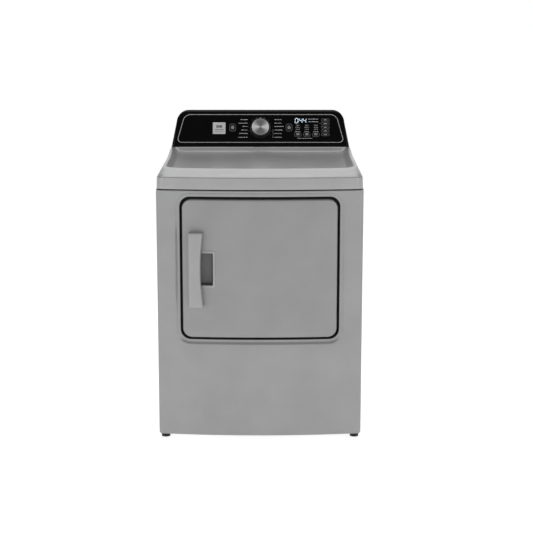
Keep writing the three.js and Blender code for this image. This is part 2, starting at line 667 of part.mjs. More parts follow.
function heaterBox() {
  const [y0, y1] = [DRUM_Y1 + FIT + FLANGE_T + FIT, REAR - 14];
  return cut(
    box(-140, 140, y0, y1, 610, 800),
    box(-138, 138, y0 - 1, y1 - 2, 612, 798),
    box(-60, 60, y0 + 6, y1 - 6, 600, 615),
  );
}

// A heating wire folded back and forth in front of the heater box's back wall.
function heatingElement() {
  const y = (DRUM_Y1 + REAR) / 2 - 4;
  const route = new THREE.CurvePath();
  const runs = 5;
  const at = (x, z) => new THREE.Vector3(x, y, z);
  for (let i = 0; i < runs; i += 1) {
    const z = 640 + 30 * i;
    const side = i % 2 ? 1 : -1;
    route.add(new THREE.LineCurve3(at(side * 100, z), at(-side * 100, z)));
    if (i === runs - 1) break;
    const [near, far] = [-side * 100, -side * 122];
    route.add(new THREE.CubicBezierCurve3(at(near, z), at(far, z), at(far, z + 30), at(near, z + 30)));
  }
  const section = new THREE.Shape();
  section.absarc(0, 0, 6, 0, Math.PI * 2, false);
  const geometry = new THREE.ExtrudeGeometry(section, { steps: 40, extrudePath: route, curveSegments: 2 });
  return solid(geometry);
}

// ---- Drive -----------------------------------------------------------------------------------------
// Where a belt meets round pulleys: each stop is [x, z, radius], with a negative radius
// where the belt bends the other way.
function beltLoop(stops) {
  const points = [];
  const legs = stops.map(([x0, z0, r0], i) => {
    const [x1, z1, r1] = stops[(i + 1) % stops.length];
    const [dx, dz] = [x1 - x0, z1 - z0];
    const reach = Math.hypot(dx, dz);
    const heading = Math.atan2(dz, dx);
    return heading - Math.PI / 2 + Math.asin((r0 - r1) / reach);
  });
  stops.forEach(([x, z, radius], i) => {
    const from = legs[(i + stops.length - 1) % stops.length];
    let to = legs[i];
    if (radius > 0) while (to < from) to += 2 * Math.PI;
    else while (to > from) to -= 2 * Math.PI;
    const steps = Math.max(4, Math.ceil((Math.abs(to - from) * 28) / Math.PI));
    for (let k = 0; k <= steps; k += 1) {
      const angle = from + ((to - from) * k) / steps;
      points.push([x + radius * Math.cos(angle), z + radius * Math.sin(angle)]);
    }
  });
  return points;
}

function driveBelt() {
  const stops = (out) => [
    [0, DRUM_Z, DRUM_R + BELT_FIT + out],
    [IDLER_X, IDLER_Z, -(IDLER_R + BELT_FIT + BELT_T - out)],
    [MOTOR_X, MOTOR_Z, PULLEY_R + BELT_FIT + out],
  ];
  const outline = polygon(beltLoop(stops(BELT_T)));
  outline.holes.push(new THREE.Path(beltLoop(stops(0)).map(([x, z]) => new THREE.Vector2(x, z))));
  return backFrom(outline, BELT_Y - BELT_W / 2, BELT_Y + BELT_W / 2);
}

const MOTOR_Y1 = BELT_Y - 30; // motor's rear end, in front of the pulley
const MOTOR_Y0 = MOTOR_Y1 - MOTOR_LENGTH;
const BASE_TOP = FOOT_HEIGHT + SHEET + FIT;

function motor() {
  const [x, z, r] = [MOTOR_X, MOTOR_Z, MOTOR_R];
  const bore = SHAFT_R + RUNNING;
  const body = turned(
    [[bore, MOTOR_Y0], [22, MOTOR_Y0], [22, MOTOR_Y0 + 6], [r - 10, MOTOR_Y0 + 10], [r, MOTOR_Y0 + 24],
      [r, MOTOR_Y1 - 24], [r - 10, MOTOR_Y1 - 10], [22, MOTOR_Y1 - 6], [22, MOTOR_Y1], [bore, MOTOR_Y1]],
    x,
    z,
    20,
  );
  const cradle = (y) => box(x - 45, x + 45, y - 3, y + 3, BASE_TOP, z - r + 16);
  const shoe = box(x - 55, x + 55, MOTOR_Y0 + 20, MOTOR_Y1 + 4, BASE_TOP, BASE_TOP + 4);
  const [armX, armTop] = [IDLER_PIVOT_X, IDLER_PIVOT_Z + 10];
  const arm = box(armX - 10, armX + 10, MOTOR_Y1 - 2, MOTOR_Y1 + 4, BASE_TOP, armTop);
  const stud = rodY(IDLER_PIVOT_X, IDLER_PIVOT_Z, 5, MOTOR_Y1 + 2, MOTOR_Y1 + 24, 20);
  return union(body, cradle(MOTOR_Y0 + 40), cradle(MOTOR_Y1 - 40), shoe, arm, stud);
}

const BLOWER_Y1 = MOTOR_Y0 - 12; // blower case's rear wall
const BLOWER_Y0 = BLOWER_Y1 - BLOWER_DEPTH;

function motorShaft() {
  const [y0, y1] = [BLOWER_Y0 + 16, BELT_Y + 10];
  return turned(
    [
      [0, y0],
      [SHAFT_R, y0],
      [SHAFT_R, BELT_Y - 9],
      [14, BELT_Y - 9],
      [14, BELT_Y - 6],
      [PULLEY_R, BELT_Y - 5],
      [PULLEY_R, BELT_Y + 5],
      [14, BELT_Y + 6],
      [14, y1],
      [0, y1],
    ],
    MOTOR_X,
    MOTOR_Z,
    20,
  );
}

function blowerWheel() {
  const [y0, y1] = [BLOWER_Y0 + 6, BLOWER_Y1 - 6];
  const back = ring(MOTOR_X, MOTOR_Z, SHAFT_R + FIT, BLOWER_R, y1 - 3, y1, 24);
  const hub = ring(MOTOR_X, MOTOR_Z, SHAFT_R + FIT, 14, y0 + 14, y1, 16);
  const rim = ring(MOTOR_X, MOTOR_Z, BLOWER_R - 14, BLOWER_R, y0, y0 + 3, 24);
  const blades = [];
  const count = 9;
  for (let i = 0; i < count; i += 1) {
    const geometry = new THREE.BoxGeometry(20, y1 - y0 - 1, 2);
    geometry.translate(BLOWER_R - 12, (y0 + y1) / 2, 0);
    geometry.rotateY((2 * Math.PI * i) / count);
    geometry.translate(MOTOR_X, 0, MOTOR_Z);
    blades.push(solid(geometry));
  }
  return union(back, hub, rim, ...blades);
}

function blowerHousing() {
  const scroll = (grow) => {
    const mouth = DUCT_R + 3 + grow;
    const hull = MOTOR_Z - DUCT_Z + mouth; // the case's wheel side rests on the same line as its outlet
    const meet = Math.PI - Math.asin((DUCT_Z + mouth - MOTOR_Z) / hull);
    return polygon([
      ...arc(DUCT_X, DUCT_Z, mouth, Math.PI / 2, Math.PI * 1.5, 12),
      ...arc(MOTOR_X, MOTOR_Z, hull, -Math.PI / 2, meet, 24),
    ]);
  };
  return cut(
    backFrom(scroll(0), BLOWER_Y0, BLOWER_Y1),
    backFrom(scroll(-2), BLOWER_Y0 + 2, BLOWER_Y1 - 2),
    rodY(MOTOR_X, MOTOR_Z, BLOWER_INLET, BLOWER_Y0 - 5, BLOWER_Y0 + 5, 32),
    rodY(MOTOR_X, MOTOR_Z, 12, BLOWER_Y1 - 5, BLOWER_Y1 + 5, 24),
    rodY(DUCT_X, DUCT_Z, DUCT_R + RUNNING, BLOWER_Y1 - 5, BLOWER_Y1 + 5, 24),
  );
}

const exhaustDuct = () => ring(DUCT_X, DUCT_Z, DUCT_R - 1.5, DUCT_R, BLOWER_Y1 - 1.5, REAR + DUCT_PROUD, 24);

// The channel under the loading opening: it holds the lint filter and leads down and back to the blower.
function lintDuct() {
  const top = OPENING_BOTTOM - FLANGE_T - FIT;
  const narrow = top - FILTER_H - 8;
  const [y0, y1] = [FILTER_Y0 - 4, BLOWER_Y0 - FIT];
  const funnel = (grow) => {
    const half = FILTER_W / 2 + 4 + grow;
    const inlet = BLOWER_INLET + 12 + grow;
    return polygon([
      [-half, top + 5],
      [-half, narrow],
      ...arc(MOTOR_X, MOTOR_Z, inlet, -Math.PI, 0, 12),
      [half, narrow],
      [half, top + 5],
    ]);
  };
  const room = (grow) =>
    union(
      box(-FAR, FAR, y0 + 2 - grow, BULKHEAD_Y - FIT - 2 + grow, 0, top),
      box(-FAR, FAR, y0 + 2 - grow, y1 - 2 + grow, 0, DRUM_Z - BULKHEAD_R - FIT - 2 + grow),
    );
  const outer = backFrom(funnel(2), y0, y1).intersect(room(2));
  const x = FILTER_W / 2 + 4;
  const mouth = box(-x, x, y0 + 2, BULKHEAD_Y - FIT - 2, top - 5, top + 5);
  const inner = backFrom(funnel(0), y0, y1).intersect(room(0).add(mouth));
  return cut(outer, inner, rodY(MOTOR_X, MOTOR_Z, BLOWER_INLET, y1 - 5, y1 + 5, 32));
}

function lintFilter() {
  const [x, y0, y1] = [FILTER_W / 2, FILTER_Y0, FILTER_Y0 + FILTER_T];
  const top = OPENING_BOTTOM + FIT;
  const frame = box(-x, x, y0, y1, top - FILTER_H, top + 1);
  const cap = box(-x - 6, x + 6, y0 - 5, y1 + 5, top, top + 4);
  const windows = [
    box(-x + 12, -4, y0 - 1, y0 + FILTER_T / 2 - 0.6, top - FILTER_H + 10, top - 16),
    box(4, x - 12, y0 - 1, y0 + FILTER_T / 2 - 0.6, top - FILTER_H + 10, top - 16),
    box(-x + 12, -4, y0 + FILTER_T / 2 + 0.6, y1 + 1, top - FILTER_H + 10, top - 16),
    box(4, x - 12, y0 + FILTER_T / 2 + 0.6, y1 + 1, top - FILTER_H + 10, top - 16),
  ];
  return cut(union(frame, cap), ...windows);
}

function idlerArm() {
  const y0 = MOTOR_Y1 + 4 + FIT;
  const [px, pz, x, z] = [IDLER_PIVOT_X, IDLER_PIVOT_Z, IDLER_X, IDLER_Z];
  const long = Math.hypot(x - px, z - pz);
  const bar = new THREE.BoxGeometry(16, 4, long);
  bar.translate(0, 0, long / 2);
  bar.rotateY(Math.atan2(x - px, z - pz));
  bar.translate(px, y0 + 2, pz);
  const pin = rodY(x, z, 4, y0 + 3, BELT_Y + 12, 20);
  return cut(
    union(solid(bar), rodY(px, pz, 11, y0, y0 + 4, 16), rodY(x, z, 9, y0, y0 + 4, 16), pin),
    rodY(px, pz, 5 + RUNNING, y0 - 1, y0 + 5, 16),
  );
}

const idlerPulley = () => {
  const bore = 4 + RUNNING;
  return turned(
    [[bore, BELT_Y - 8], [IDLER_R, BELT_Y - 8], [IDLER_R, BELT_Y + 8], [bore, BELT_Y + 8]],
    IDLER_X,
    IDLER_Z,
    24,
  );
};

const idlerSpring = () =>
  ring(IDLER_PIVOT_X, IDLER_PIVOT_Z, 5 + RUNNING, 9, MOTOR_Y1 + 9 + FIT, MOTOR_Y1 + 22, 20);

// ---- Feet ------------------------------------------------------------------------------------------
const footX = HALF - FOOT_INSET;
const footPlaces = [
  [-footX, FRONT + FOOT_SETBACK],
  [footX, FRONT + FOOT_SETBACK],
  [-footX, REAR - FOOT_SETBACK],
  [footX, REAR - FOOT_SETBACK],
];

function foot([x, y]) {
  const pad = new THREE.CylinderGeometry(FOOT_R - 3, FOOT_R, 10, 24);
  pad.rotateX(Math.PI / 2);
  pad.translate(x, y, 5);
  return union(
    solid(pad),
    rodZ(x, y, 9, 9, FOOT_HEIGHT - FIT, 6),
    rodZ(x, y, 5, FOOT_HEIGHT - 2, FOOT_HEIGHT + 42, 16),
  );
}

// ---- Console: the housing, then the pieces on its leaning face --------------------------------------
function consoleOutline(half, taper, radius, z0, z1) {
  const shape = new THREE.Shape();
  const lean = Math.atan2(taper, z1 - z0);
  const topHalf = half - taper;
  const inset = radius * Math.tan((Math.PI / 2 - lean) / 2);
  shape.moveTo(-half, z0);
  shape.lineTo(half, z0);
  shape.absarc(topHalf - inset, z1 - radius, radius, lean, Math.PI / 2, false);
  shape.absarc(-topHalf + inset, z1 - radius, radius, Math.PI / 2, Math.PI - lean, false);
  return shape;
}

function consoleHousing() {
  const rise = HEIGHT - CONSOLE_Z;
  const topY = CONSOLE_Y + rise * Math.tan(tilt);
  const foot = CONSOLE_Z + FIT;
  const front = (half, taper, radius, z0, z1) =>
    backFrom(consoleOutline(half, taper, radius, z0, z1), -FAR, FAR);
  const outer = acrossFrom(
    polygon([
      [CONSOLE_Y + FIT * Math.tan(tilt), foot],
      [REAR - 8, foot],
      [REAR - 8, foot + 40],
      [topY + 36, HEIGHT - 4],
      [topY + 26, HEIGHT],
      [topY + 4, HEIGHT],
      [topY - 6 * Math.tan(tilt), HEIGHT - 6],
    ]),
    -FAR,
    FAR,
  ).intersect(front(CONSOLE_HALF, CONSOLE_TAPER, CONSOLE_R, foot - 1, HEIGHT));
  const w = CONSOLE_WALL;
  const inner = acrossFrom(
    polygon([
      [CONSOLE_Y - 10, foot + 6],
      [REAR - 8 - w, foot + 6],
      [REAR - 8 - w, foot + 39],
      [topY + 33, HEIGHT - 8],
      [topY - 20, HEIGHT - 8],
    ]),
    -FAR,
    FAR,
  ).intersect(front(CONSOLE_HALF - 10, CONSOLE_TAPER, CONSOLE_R - 8, foot, HEIGHT - 8));
  return cut(outer, inner);
}

const face = new THREE.Group();
face.position.set(0, CONSOLE_Y, CONSOLE_Z);
face.rotation.x = -tilt;
dryer.add(face);

// In the face's own frame: x across, z up the slope, the outside towards -y.
const FASCIA_FRONT = -FASCIA_T - FIT;
const KNOB_Z = 70;
const TRIM_W = 2.4;
const trimShape = (shrink) => {
  const shape = new THREE.Shape();
  const [x0, x1, z0, z1] = [304 - shrink, 284 - shrink, 17 + shrink, 125 - shrink];
  const [low, high] = [15 - shrink, 30 - shrink];
  const lean = Math.atan2(x0 - x1, z1 - z0);
  shape.absarc(x0 - low - 1, z0 + low, low, -Math.PI / 2, lean, false);
  shape.absarc(x1 - high + 2, z1 - high, high, lean, Math.PI / 2, false);
  shape.absarc(-x1 + high - 2, z1 - high, high, Math.PI / 2, Math.PI - lean, false);
  shape.absarc(-x0 + low + 1, z0 + low, low, Math.PI - lean, Math.PI * 1.5, false);
  return shape;
};

const BADGE = 49;
const BADGE_X = -151.5;

// Each key: name, middle x, middle z, width, height, corner radius.
const bigKey = [25, 31, 9];
const domeKey = [27, 19, 8];
const pillKey = [32, 11.6, 5.6];
const keys = [
  ["power_key", -102, 73, ...bigKey],
  ["start_pause_key", 105, 73, ...bigKey],
  ["dryness_key", 137, 46, ...domeKey],
  ["heat_key", 170, 46, ...domeKey],
  ["time_key", 203, 46, ...domeKey],
  ["signal_key", 238, 102.5, ...pillKey],
  ["light_key", 238, 88.3, ...pillKey],
  ["refresh_key", 238, 74.1, ...pillKey],
  ["delay_key", 238, 59.9, ...pillKey],
  ["lock_key", 238, 45.7, ...pillKey],
];
const keyShape = ([, x, z, width, height, radius], grow = 0) =>
  roundedRect(x, z, width + 2 * grow, height + 2 * grow, radius + grow);

function consoleFascia() {
  const outline = consoleOutline(FASCIA_HALF, FASCIA_TAPER, FASCIA_R, 0, FACE_LENGTH);
  const plate = backFrom(outline, FASCIA_FRONT, -FIT, 5);
  const holes = keys.map((key) => backFrom(keyShape(key, FIT), -20, 20, KEY_FACETS));
  return cut(plate, ...holes, rodY(0, KNOB_Z, 4 + RUNNING, -20, 20, 20));
}

const consoleTrim = () =>
  cut(
    backFrom(trimShape(0), FASCIA_FRONT - 0.9, FASCIA_FRONT - 0.3, 4),
    backFrom(trimShape(TRIM_W), FASCIA_FRONT - 2, FASCIA_FRONT + 1, 4),
  );

const badgePlate = () =>
  backFrom(roundedRect(BADGE_X, 72, BADGE, BADGE, 2), FASCIA_FRONT - 1.6, FASCIA_FRONT - 0.3, 2);

function controlKnob() {
  const foot = FASCIA_FRONT - FIT;
  return turned(
    [
      [KNOB_R - 2, foot - KNOB_RISE],
      [KNOB_R, foot - KNOB_RISE + 2],
      [KNOB_R, foot - 6],
      [KNOB_SKIRT_R, foot - 3],
      [KNOB_SKIRT_R, foot],
      [4, foot],
      [4, 14],
      [0, 14],
      [0, foot - KNOB_RISE],
    ],
    0,
    KNOB_Z,
    32,
  );
}

const pushKey = (key) =>
  union(
    backFrom(keyShape(key), FASCIA_FRONT - KEY_PROUD, KEY_DEPTH - 4, KEY_FACETS),
    rodY(key[1], key[2], 3, KEY_DEPTH - 5, KEY_DEPTH, 8),
  );

function controlBoard() {
  const y0 = KEY_DEPTH + KEY_TRAVEL_ROOM + 6;
  return box(-70, 280, y0, y0 + 2, 22, 116);
}

// ---- Assembly --------------------------------------------------------------------------------------
add("front_panel", frontPanel(), greyPaint);
add("left_side_panel", sidePanel(-1), greyPaint);
add("right_side_panel", sidePanel(1), greyPaint);
add("base_pan", basePan(), zinc);
add("rear_panel", rearPanel(), zinc);
add("terminal_cover", terminalCover(), zinc);
add("top_cover", topCover(), greyPaint);

add("door_outer_panel", doorOuterPanel(), greyPaint);
add("door_inner_panel", doorInnerPanel(), whitePlastic);
add("door_seal", doorSeal(), rubber);
add("door_handle", doorHandle(), greyPlastic);
add("handle_cup", handleCup(), greyPlastic);
add("door_strike", doorStrike(), zinc);
add("door_hinge_plate", doorHingePlate(), zinc);
add("hinge_frame", hingeFrame(), zinc);
add("door_catch", doorCatch(), darkPlastic);
add("door_switch_button", doorSwitchButton(), whitePlastic);

add("drum", drum(), drumSteel);
[0, 1, 2].forEach((i) => add(`baffle_${i + 1}`, baffle((2 * Math.PI * i) / 3 + Math.PI / 6), whitePlastic));
add("front_bulkhead", frontBulkhead(), zinc);
add("rear_bulkhead", rearBulkhead(), zinc);
add("front_drum_seal", sealRing(DRUM_Y0 + 2, DRUM_Y0 + 20), felt);
add("rear_drum_seal", sealRing(DRUM_Y1 - 20, DRUM_Y1 - 2), felt);
add("left_drum_roller", drumRoller(-1), rubber);
add("right_drum_roller", drumRoller(1), rubber);
add("heater_box", heaterBox(), zinc);
add("heating_element", heatingElement(), castMetal);

add("drive_belt", driveBelt(), rubber);
add("motor", motor(), castMetal);
add("motor_shaft", motorShaft(), brushedSteel);
add("blower_wheel", blowerWheel(), darkPlastic);
add("blower_housing", blowerHousing(), whitePlastic);
add("exhaust_duct", exhaustDuct(), zinc);
add("lint_duct", lintDuct(), whitePlastic);
add("lint_filter", lintFilter(), whitePlastic);
add("idler_arm", idlerArm(), zinc);
add("idler_pulley", idlerPulley(), darkPlastic);
add("idler_spring", idlerSpring(), brushedSteel);

["front_left_foot", "front_right_foot", "rear_left_foot", "rear_right_foot"].forEach((name, i) =>
  add(name, foot(footPlaces[i]), rubber),
);

add("console_housing", consoleHousing(), greyPlastic);
add("console_fascia", consoleFascia(), blackGloss, face);
add("console_trim", consoleTrim(), brushedSteel, face);
add("badge_plate", badgePlate(), brushedSteel, face);
add("control_knob", controlKnob(), brushedSteel, face);
add("control_board", controlBoard(), boardGreen, face);
keys.forEach((key) => add(key[0], pushKey(key), blackGloss, face));

export default dryer;
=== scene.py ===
"""A full-size vented clothes dryer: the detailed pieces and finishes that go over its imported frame."""

import random
from math import atan2, cos, pi, radians, sin, sqrt

import bmesh
import bpy
from bpy.props import FloatProperty, FloatVectorProperty, PointerProperty
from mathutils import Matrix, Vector


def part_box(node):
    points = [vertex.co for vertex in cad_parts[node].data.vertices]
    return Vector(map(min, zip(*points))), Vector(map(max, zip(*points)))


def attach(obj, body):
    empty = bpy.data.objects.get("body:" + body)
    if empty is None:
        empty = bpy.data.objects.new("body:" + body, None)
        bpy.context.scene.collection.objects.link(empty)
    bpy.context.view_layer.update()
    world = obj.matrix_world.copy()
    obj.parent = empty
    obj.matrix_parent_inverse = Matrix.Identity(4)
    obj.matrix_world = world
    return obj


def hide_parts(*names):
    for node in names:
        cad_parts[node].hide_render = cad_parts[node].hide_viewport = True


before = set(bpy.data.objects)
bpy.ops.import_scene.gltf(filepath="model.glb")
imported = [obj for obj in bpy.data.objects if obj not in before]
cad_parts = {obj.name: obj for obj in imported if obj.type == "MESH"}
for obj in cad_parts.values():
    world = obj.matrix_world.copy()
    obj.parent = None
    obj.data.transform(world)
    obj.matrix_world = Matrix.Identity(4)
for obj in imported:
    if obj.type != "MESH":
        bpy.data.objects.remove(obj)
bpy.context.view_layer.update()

bl_info = {
    "name": "Clothes Dryer",
    "version": (1, 0, 0),
    "blender": (4, 5, 0),
    "location": "3D View > Sidebar > Dryer",
    "description": "Builds the panels, door, console and drum of a clothes dryer with their finishes",
    "category": "Add Mesh",
}


def span(node):
    """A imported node's lowest and highest corners, in millimetres."""
    low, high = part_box(node)
    return low * 1000, high * 1000


PANEL = span("front_panel")
DOOR = span("door_outer_panel")
COVER = span("top_cover")
REAR = span("rear_panel")[1].y
DRUM = span("drum")

# ---- The bowed front, in plan -----------------------------------------------------------------------
HALF = PANEL[1].x
BOW = 25.0
BOW_R = (HALF**2 + BOW**2) / (2 * BOW)
FRONT = PANEL[0].y + BOW
CORNER = 10.0
CORNER_X = HALF - CORNER
CORNER_Y = FRONT - BOW + BOW_R - sqrt((BOW_R - CORNER) ** 2 - CORNER_X**2)
TANGENT_X = CORNER_X * BOW_R / (BOW_R - CORNER)
DOOR_Z = (DOOR[0].z + DOOR[1].z) / 2
DOOR_W = DOOR[1].x - DOOR[0].x
DOOR_H = DOOR[1].z - DOOR[0].z
DOOR_BACK = DOOR[1].y
POCKET_FLOOR = FRONT + 20
POCKET_GAP = 6.5  # dark gap round the door
OPENING_W, OPENING_H, OPENING_R = 440, 380, 85
STEP = 6.0  # depth of the dished border round the pocket


def front_y(x):
    """Where the bowed front lies at x, with its rounded outer corners."""
    x = abs(x)
    if x <= TANGENT_X:
        return FRONT - BOW + BOW_R - sqrt(BOW_R**2 - x * x)
    return CORNER_Y - sqrt(max(0.0, CORNER**2 - (x - CORNER_X) ** 2))


def door_y(x):
    return front_y(x) - 3.0


# ---- The console's tilted face ----------------------------------------------------------------------
TILT = radians(26)
FACE_Y = FRONT + 545  # the face's foot, behind the front corner line
FACE_Z = 937.0  # and above the floor
FASCIA_OUT = 3.4  # the black face's surface in front of the moulding
KNOB_S = 70.0  # the knob's place up the slope


def on_face(x, s, out=FASCIA_OUT):
    """A point on the console's face: x across, s up the slope, out towards the user."""
    return (x, FACE_Y - out * cos(TILT) + s * sin(TILT), FACE_Z + out * sin(TILT) + s * cos(TILT))


# ---- Mesh making ------------------------------------------------------------------------------------
def smooth(t):
    t = min(1.0, max(0.0, t))
    return t * t * (3 - 2 * t)


def outline(cx, cz, w, h, r, corner=8, across=24, up=12):
    """A rounded rectangle, counter-clockwise from its lower right corner."""
    x, z = w / 2 - r, h / 2 - r
    arcs = []
    for sx, sz, start in ((1, -1, -90), (1, 1, 0), (-1, 1, 90), (-1, -1, 180)):
        turns = [radians(start + 90 * i / corner) for i in range(corner + 1)]
        arcs.append([(cx + sx * x + r * cos(a), cz + sz * z + r * sin(a)) for a in turns])
    points = []
    for i, count in enumerate((up, across, up, across)):
        (ax, az), (bx, bz) = arcs[i][-1], arcs[(i + 1) % 4][0]
        points += arcs[i]
        points += [(ax + (bx - ax) * k / count, az + (bz - az) * k / count) for k in range(1, count)]
    return points


def rounding(radius, steps=4, start=0.0):
    """(inset, rise) pairs round a quarter-circle edge, from its side to its top."""
    turns = [start + (pi / 2 - start) * i / steps for i in range(steps + 1)]
    return [(radius * (1 - cos(a)), radius * sin(a)) for a in turns]


class Shape:
    """Loops of points, in millimetres, that are skinned into one mesh."""

    def __init__(self):
        self.mesh = bmesh.new()
        self.slot = 0

    def ring(self, points):
        return [self.mesh.verts.new(Vector(p) / 1000) for p in points]

    def face(self, corners):
        face = self.mesh.faces.new(corners)
        face.material_index = self.slot
        face.smooth = True
        return face

    def band(self, a, b):
        for i in range(len(a)):
            j = (i + 1) % len(a)
            self.face((a[i], a[j], b[j], b[i]))

    def loft(self, loops, first=False, last=False, around=False, slots=None):
        """Skins the loops in order; `first` and `last` close the ends, `around` joins them."""
        rings = [self.ring(loop) for loop in loops]
        for k, (a, b) in enumerate(zip(rings, rings[1:])):
            if slots:
                self.slot = slots(k + 1)
            self.band(a, b)
        if around:
            self.band(rings[-1], rings[0])
        if first:
            self.face(rings[0])
        if last:
            self.face(rings[-1][::-1])
        return self

    def turned(self, profile, centre, axis="y", sides=64, around=False):
        """Turns (radius, height) points about an axis; a radius of 0 closes in a point."""
        rings = []
        for radius, height in profile:
            turns = [2 * pi * k / sides for k in range(1 if radius < 1e-6 else sides)]
            spots = [(centre[0] + radius * cos(a), centre[1] + radius * sin(a)) for a in turns]
            if axis == "y":
                loop = [(u, height, v) for u, v in spots]
            elif axis == "z":
                loop = [(u, v, height) for u, v in spots]
            else:
                loop = [on_face(u, v, height) for u, v in spots]
            rings.append(self.ring(loop))
        pairs = list(zip(rings, rings[1:])) + ([(rings[-1], rings[0])] if around else [])
        for a, b in pairs:
            if len(a) == 1 and len(b) == 1:
                continue
            if len(a) == 1:
                for i in range(len(b)):
                    self.face((a[0], b[(i + 1) % len(b)], b[i]))
            elif len(b) == 1:
                for i in range(len(a)):
                    self.face((a[i], a[(i + 1) % len(a)], b[0]))
            else:
                self.band(a, b)
        return self

    def done(self, name, materials, facing=None, angle=32):
        """Makes the object. `facing` is where an open sheet's outside points; a closed one needs none."""
        made = self.mesh
        bmesh.ops.remove_doubles(made, verts=made.verts, dist=1e-6)
        bmesh.ops.dissolve_degenerate(made, edges=made.edges, dist=1e-6)
        bmesh.ops.recalc_face_normals(made, faces=made.faces)
        if facing is not None:
            total = sum((f.normal * f.calc_area() for f in made.faces), Vector())
            if total.dot(Vector(facing)) < 0:
                bmesh.ops.reverse_faces(made, faces=made.faces)
        data = bpy.data.meshes.new(name)
        made.to_mesh(data)
        made.free()
        for material in materials:
            data.materials.append(finish(material))
        data.set_sharp_from_angle(angle=radians(angle))
        piece = bpy.data.objects.new(name, data)
        bpy.context.scene.collection.objects.link(piece)
        return piece


def wall(piece, thickness, offset=-1.0):
    """Gives an open sheet its thickness, on the inside."""
    solid = piece.modifiers.new("wall", "SOLIDIFY")
    solid.thickness = thickness / 1000
    solid.offset = offset
    return piece


def settled(piece, angle=32):
    """Turns a piece with its modifiers into a plain mesh."""
    evaluated = piece.evaluated_get(bpy.context.evaluated_depsgraph_get())
    data = bpy.data.meshes.new_from_object(evaluated)
    piece.modifiers.clear()
    old = piece.data
    piece.data = data
    data.name = piece.name
    bpy.data.meshes.remove(old)
    data.polygons.foreach_set("use_smooth", [True] * len(data.polygons))
    data.set_sharp_from_angle(angle=radians(angle))
    return piece


def carved(piece, *cutters):
    """Cuts closed shapes out of a closed piece, for good."""
    settled(piece)
    for cutter in cutters:
        cut = piece.modifiers.new("cut", "BOOLEAN")
        cut.operation = "DIFFERENCE"
        cut.solver = "EXACT"
        cut.object = cutter
    settled(piece)
    for cutter in cutters:
        bpy.data.objects.remove(cutter)
    return piece


def block(x0, x1, y0, y1, z0, z1):
    """A plain cutter."""
    shape = Shape()
    loop = [(x0, z0), (x1, z0), (x1, z1), (x0, z1)]
    shape.loft([[(x, y, z) for x, z in loop] for y in (y0, y1)], first=True, last=True)
    return shape.done("cutter", [])


def fit(piece, body, slot, *nodes):
    """Puts a piece on its body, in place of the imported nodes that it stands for."""
    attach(piece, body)
    if nodes:
        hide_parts(*nodes)
    return piece


# ---- Node graphs ------------------------------------------------------------------------------------
class Signal:
    """A number's socket, so that plain arithmetic adds its Math nodes."""

    def __init__(self, graph, socket):
        self.graph = graph
        self.socket = socket

    def math(self, operation, *values, **settings):
        settings["operation"] = operation
        node = self.graph.node("ShaderNodeMath", settings, dict(enumerate((self, *values))))
        return Signal(self.graph, node.outputs[0])

    def __add__(self, other):
        return self.math("ADD", other)

    def __sub__(self, other):
        return self.math("SUBTRACT", other)

    def __rsub__(self, other):
        return (self * -1.0).math("ADD", other)

    def __mul__(self, other):
        return self.math("MULTIPLY", other)

    def __truediv__(self, other):
        return self.math("DIVIDE", other)

    def __pow__(self, other):
        return self.math("POWER", other)

    __radd__ = __add__
    __rmul__ = __mul__

    def clamp(self):
        return self.math("ADD", 0.0, use_clamp=True)

    def step(self, low, high):
        """0 below low, 1 above high, smooth between."""
        settings = {"interpolation_type": "SMOOTHSTEP"}
        values = {"Value": self, "From Min": low, "From Max": high}
        node = self.graph.node("ShaderNodeMapRange", settings, values)
        return Signal(self.graph, node.outputs["Result"])


class Graph:
    """A node tree under construction."""

    def __init__(self, tree):
        self.tree = tree

    def node(self, kind, settings=None, values=None):
        node = self.tree.nodes.new(kind)
        for key, value in (settings or {}).items():
            setattr(node, key, value)
        for key, value in (values or {}).items():
            if isinstance(value, Signal):
                value = value.socket
            if isinstance(value, bpy.types.NodeSocket):
                self.tree.links.new(value, node.inputs[key])
            else:
                node.inputs[key].default_value = value
        return node

    def signal(self, node, output):
        return Signal(self, node.outputs[output])


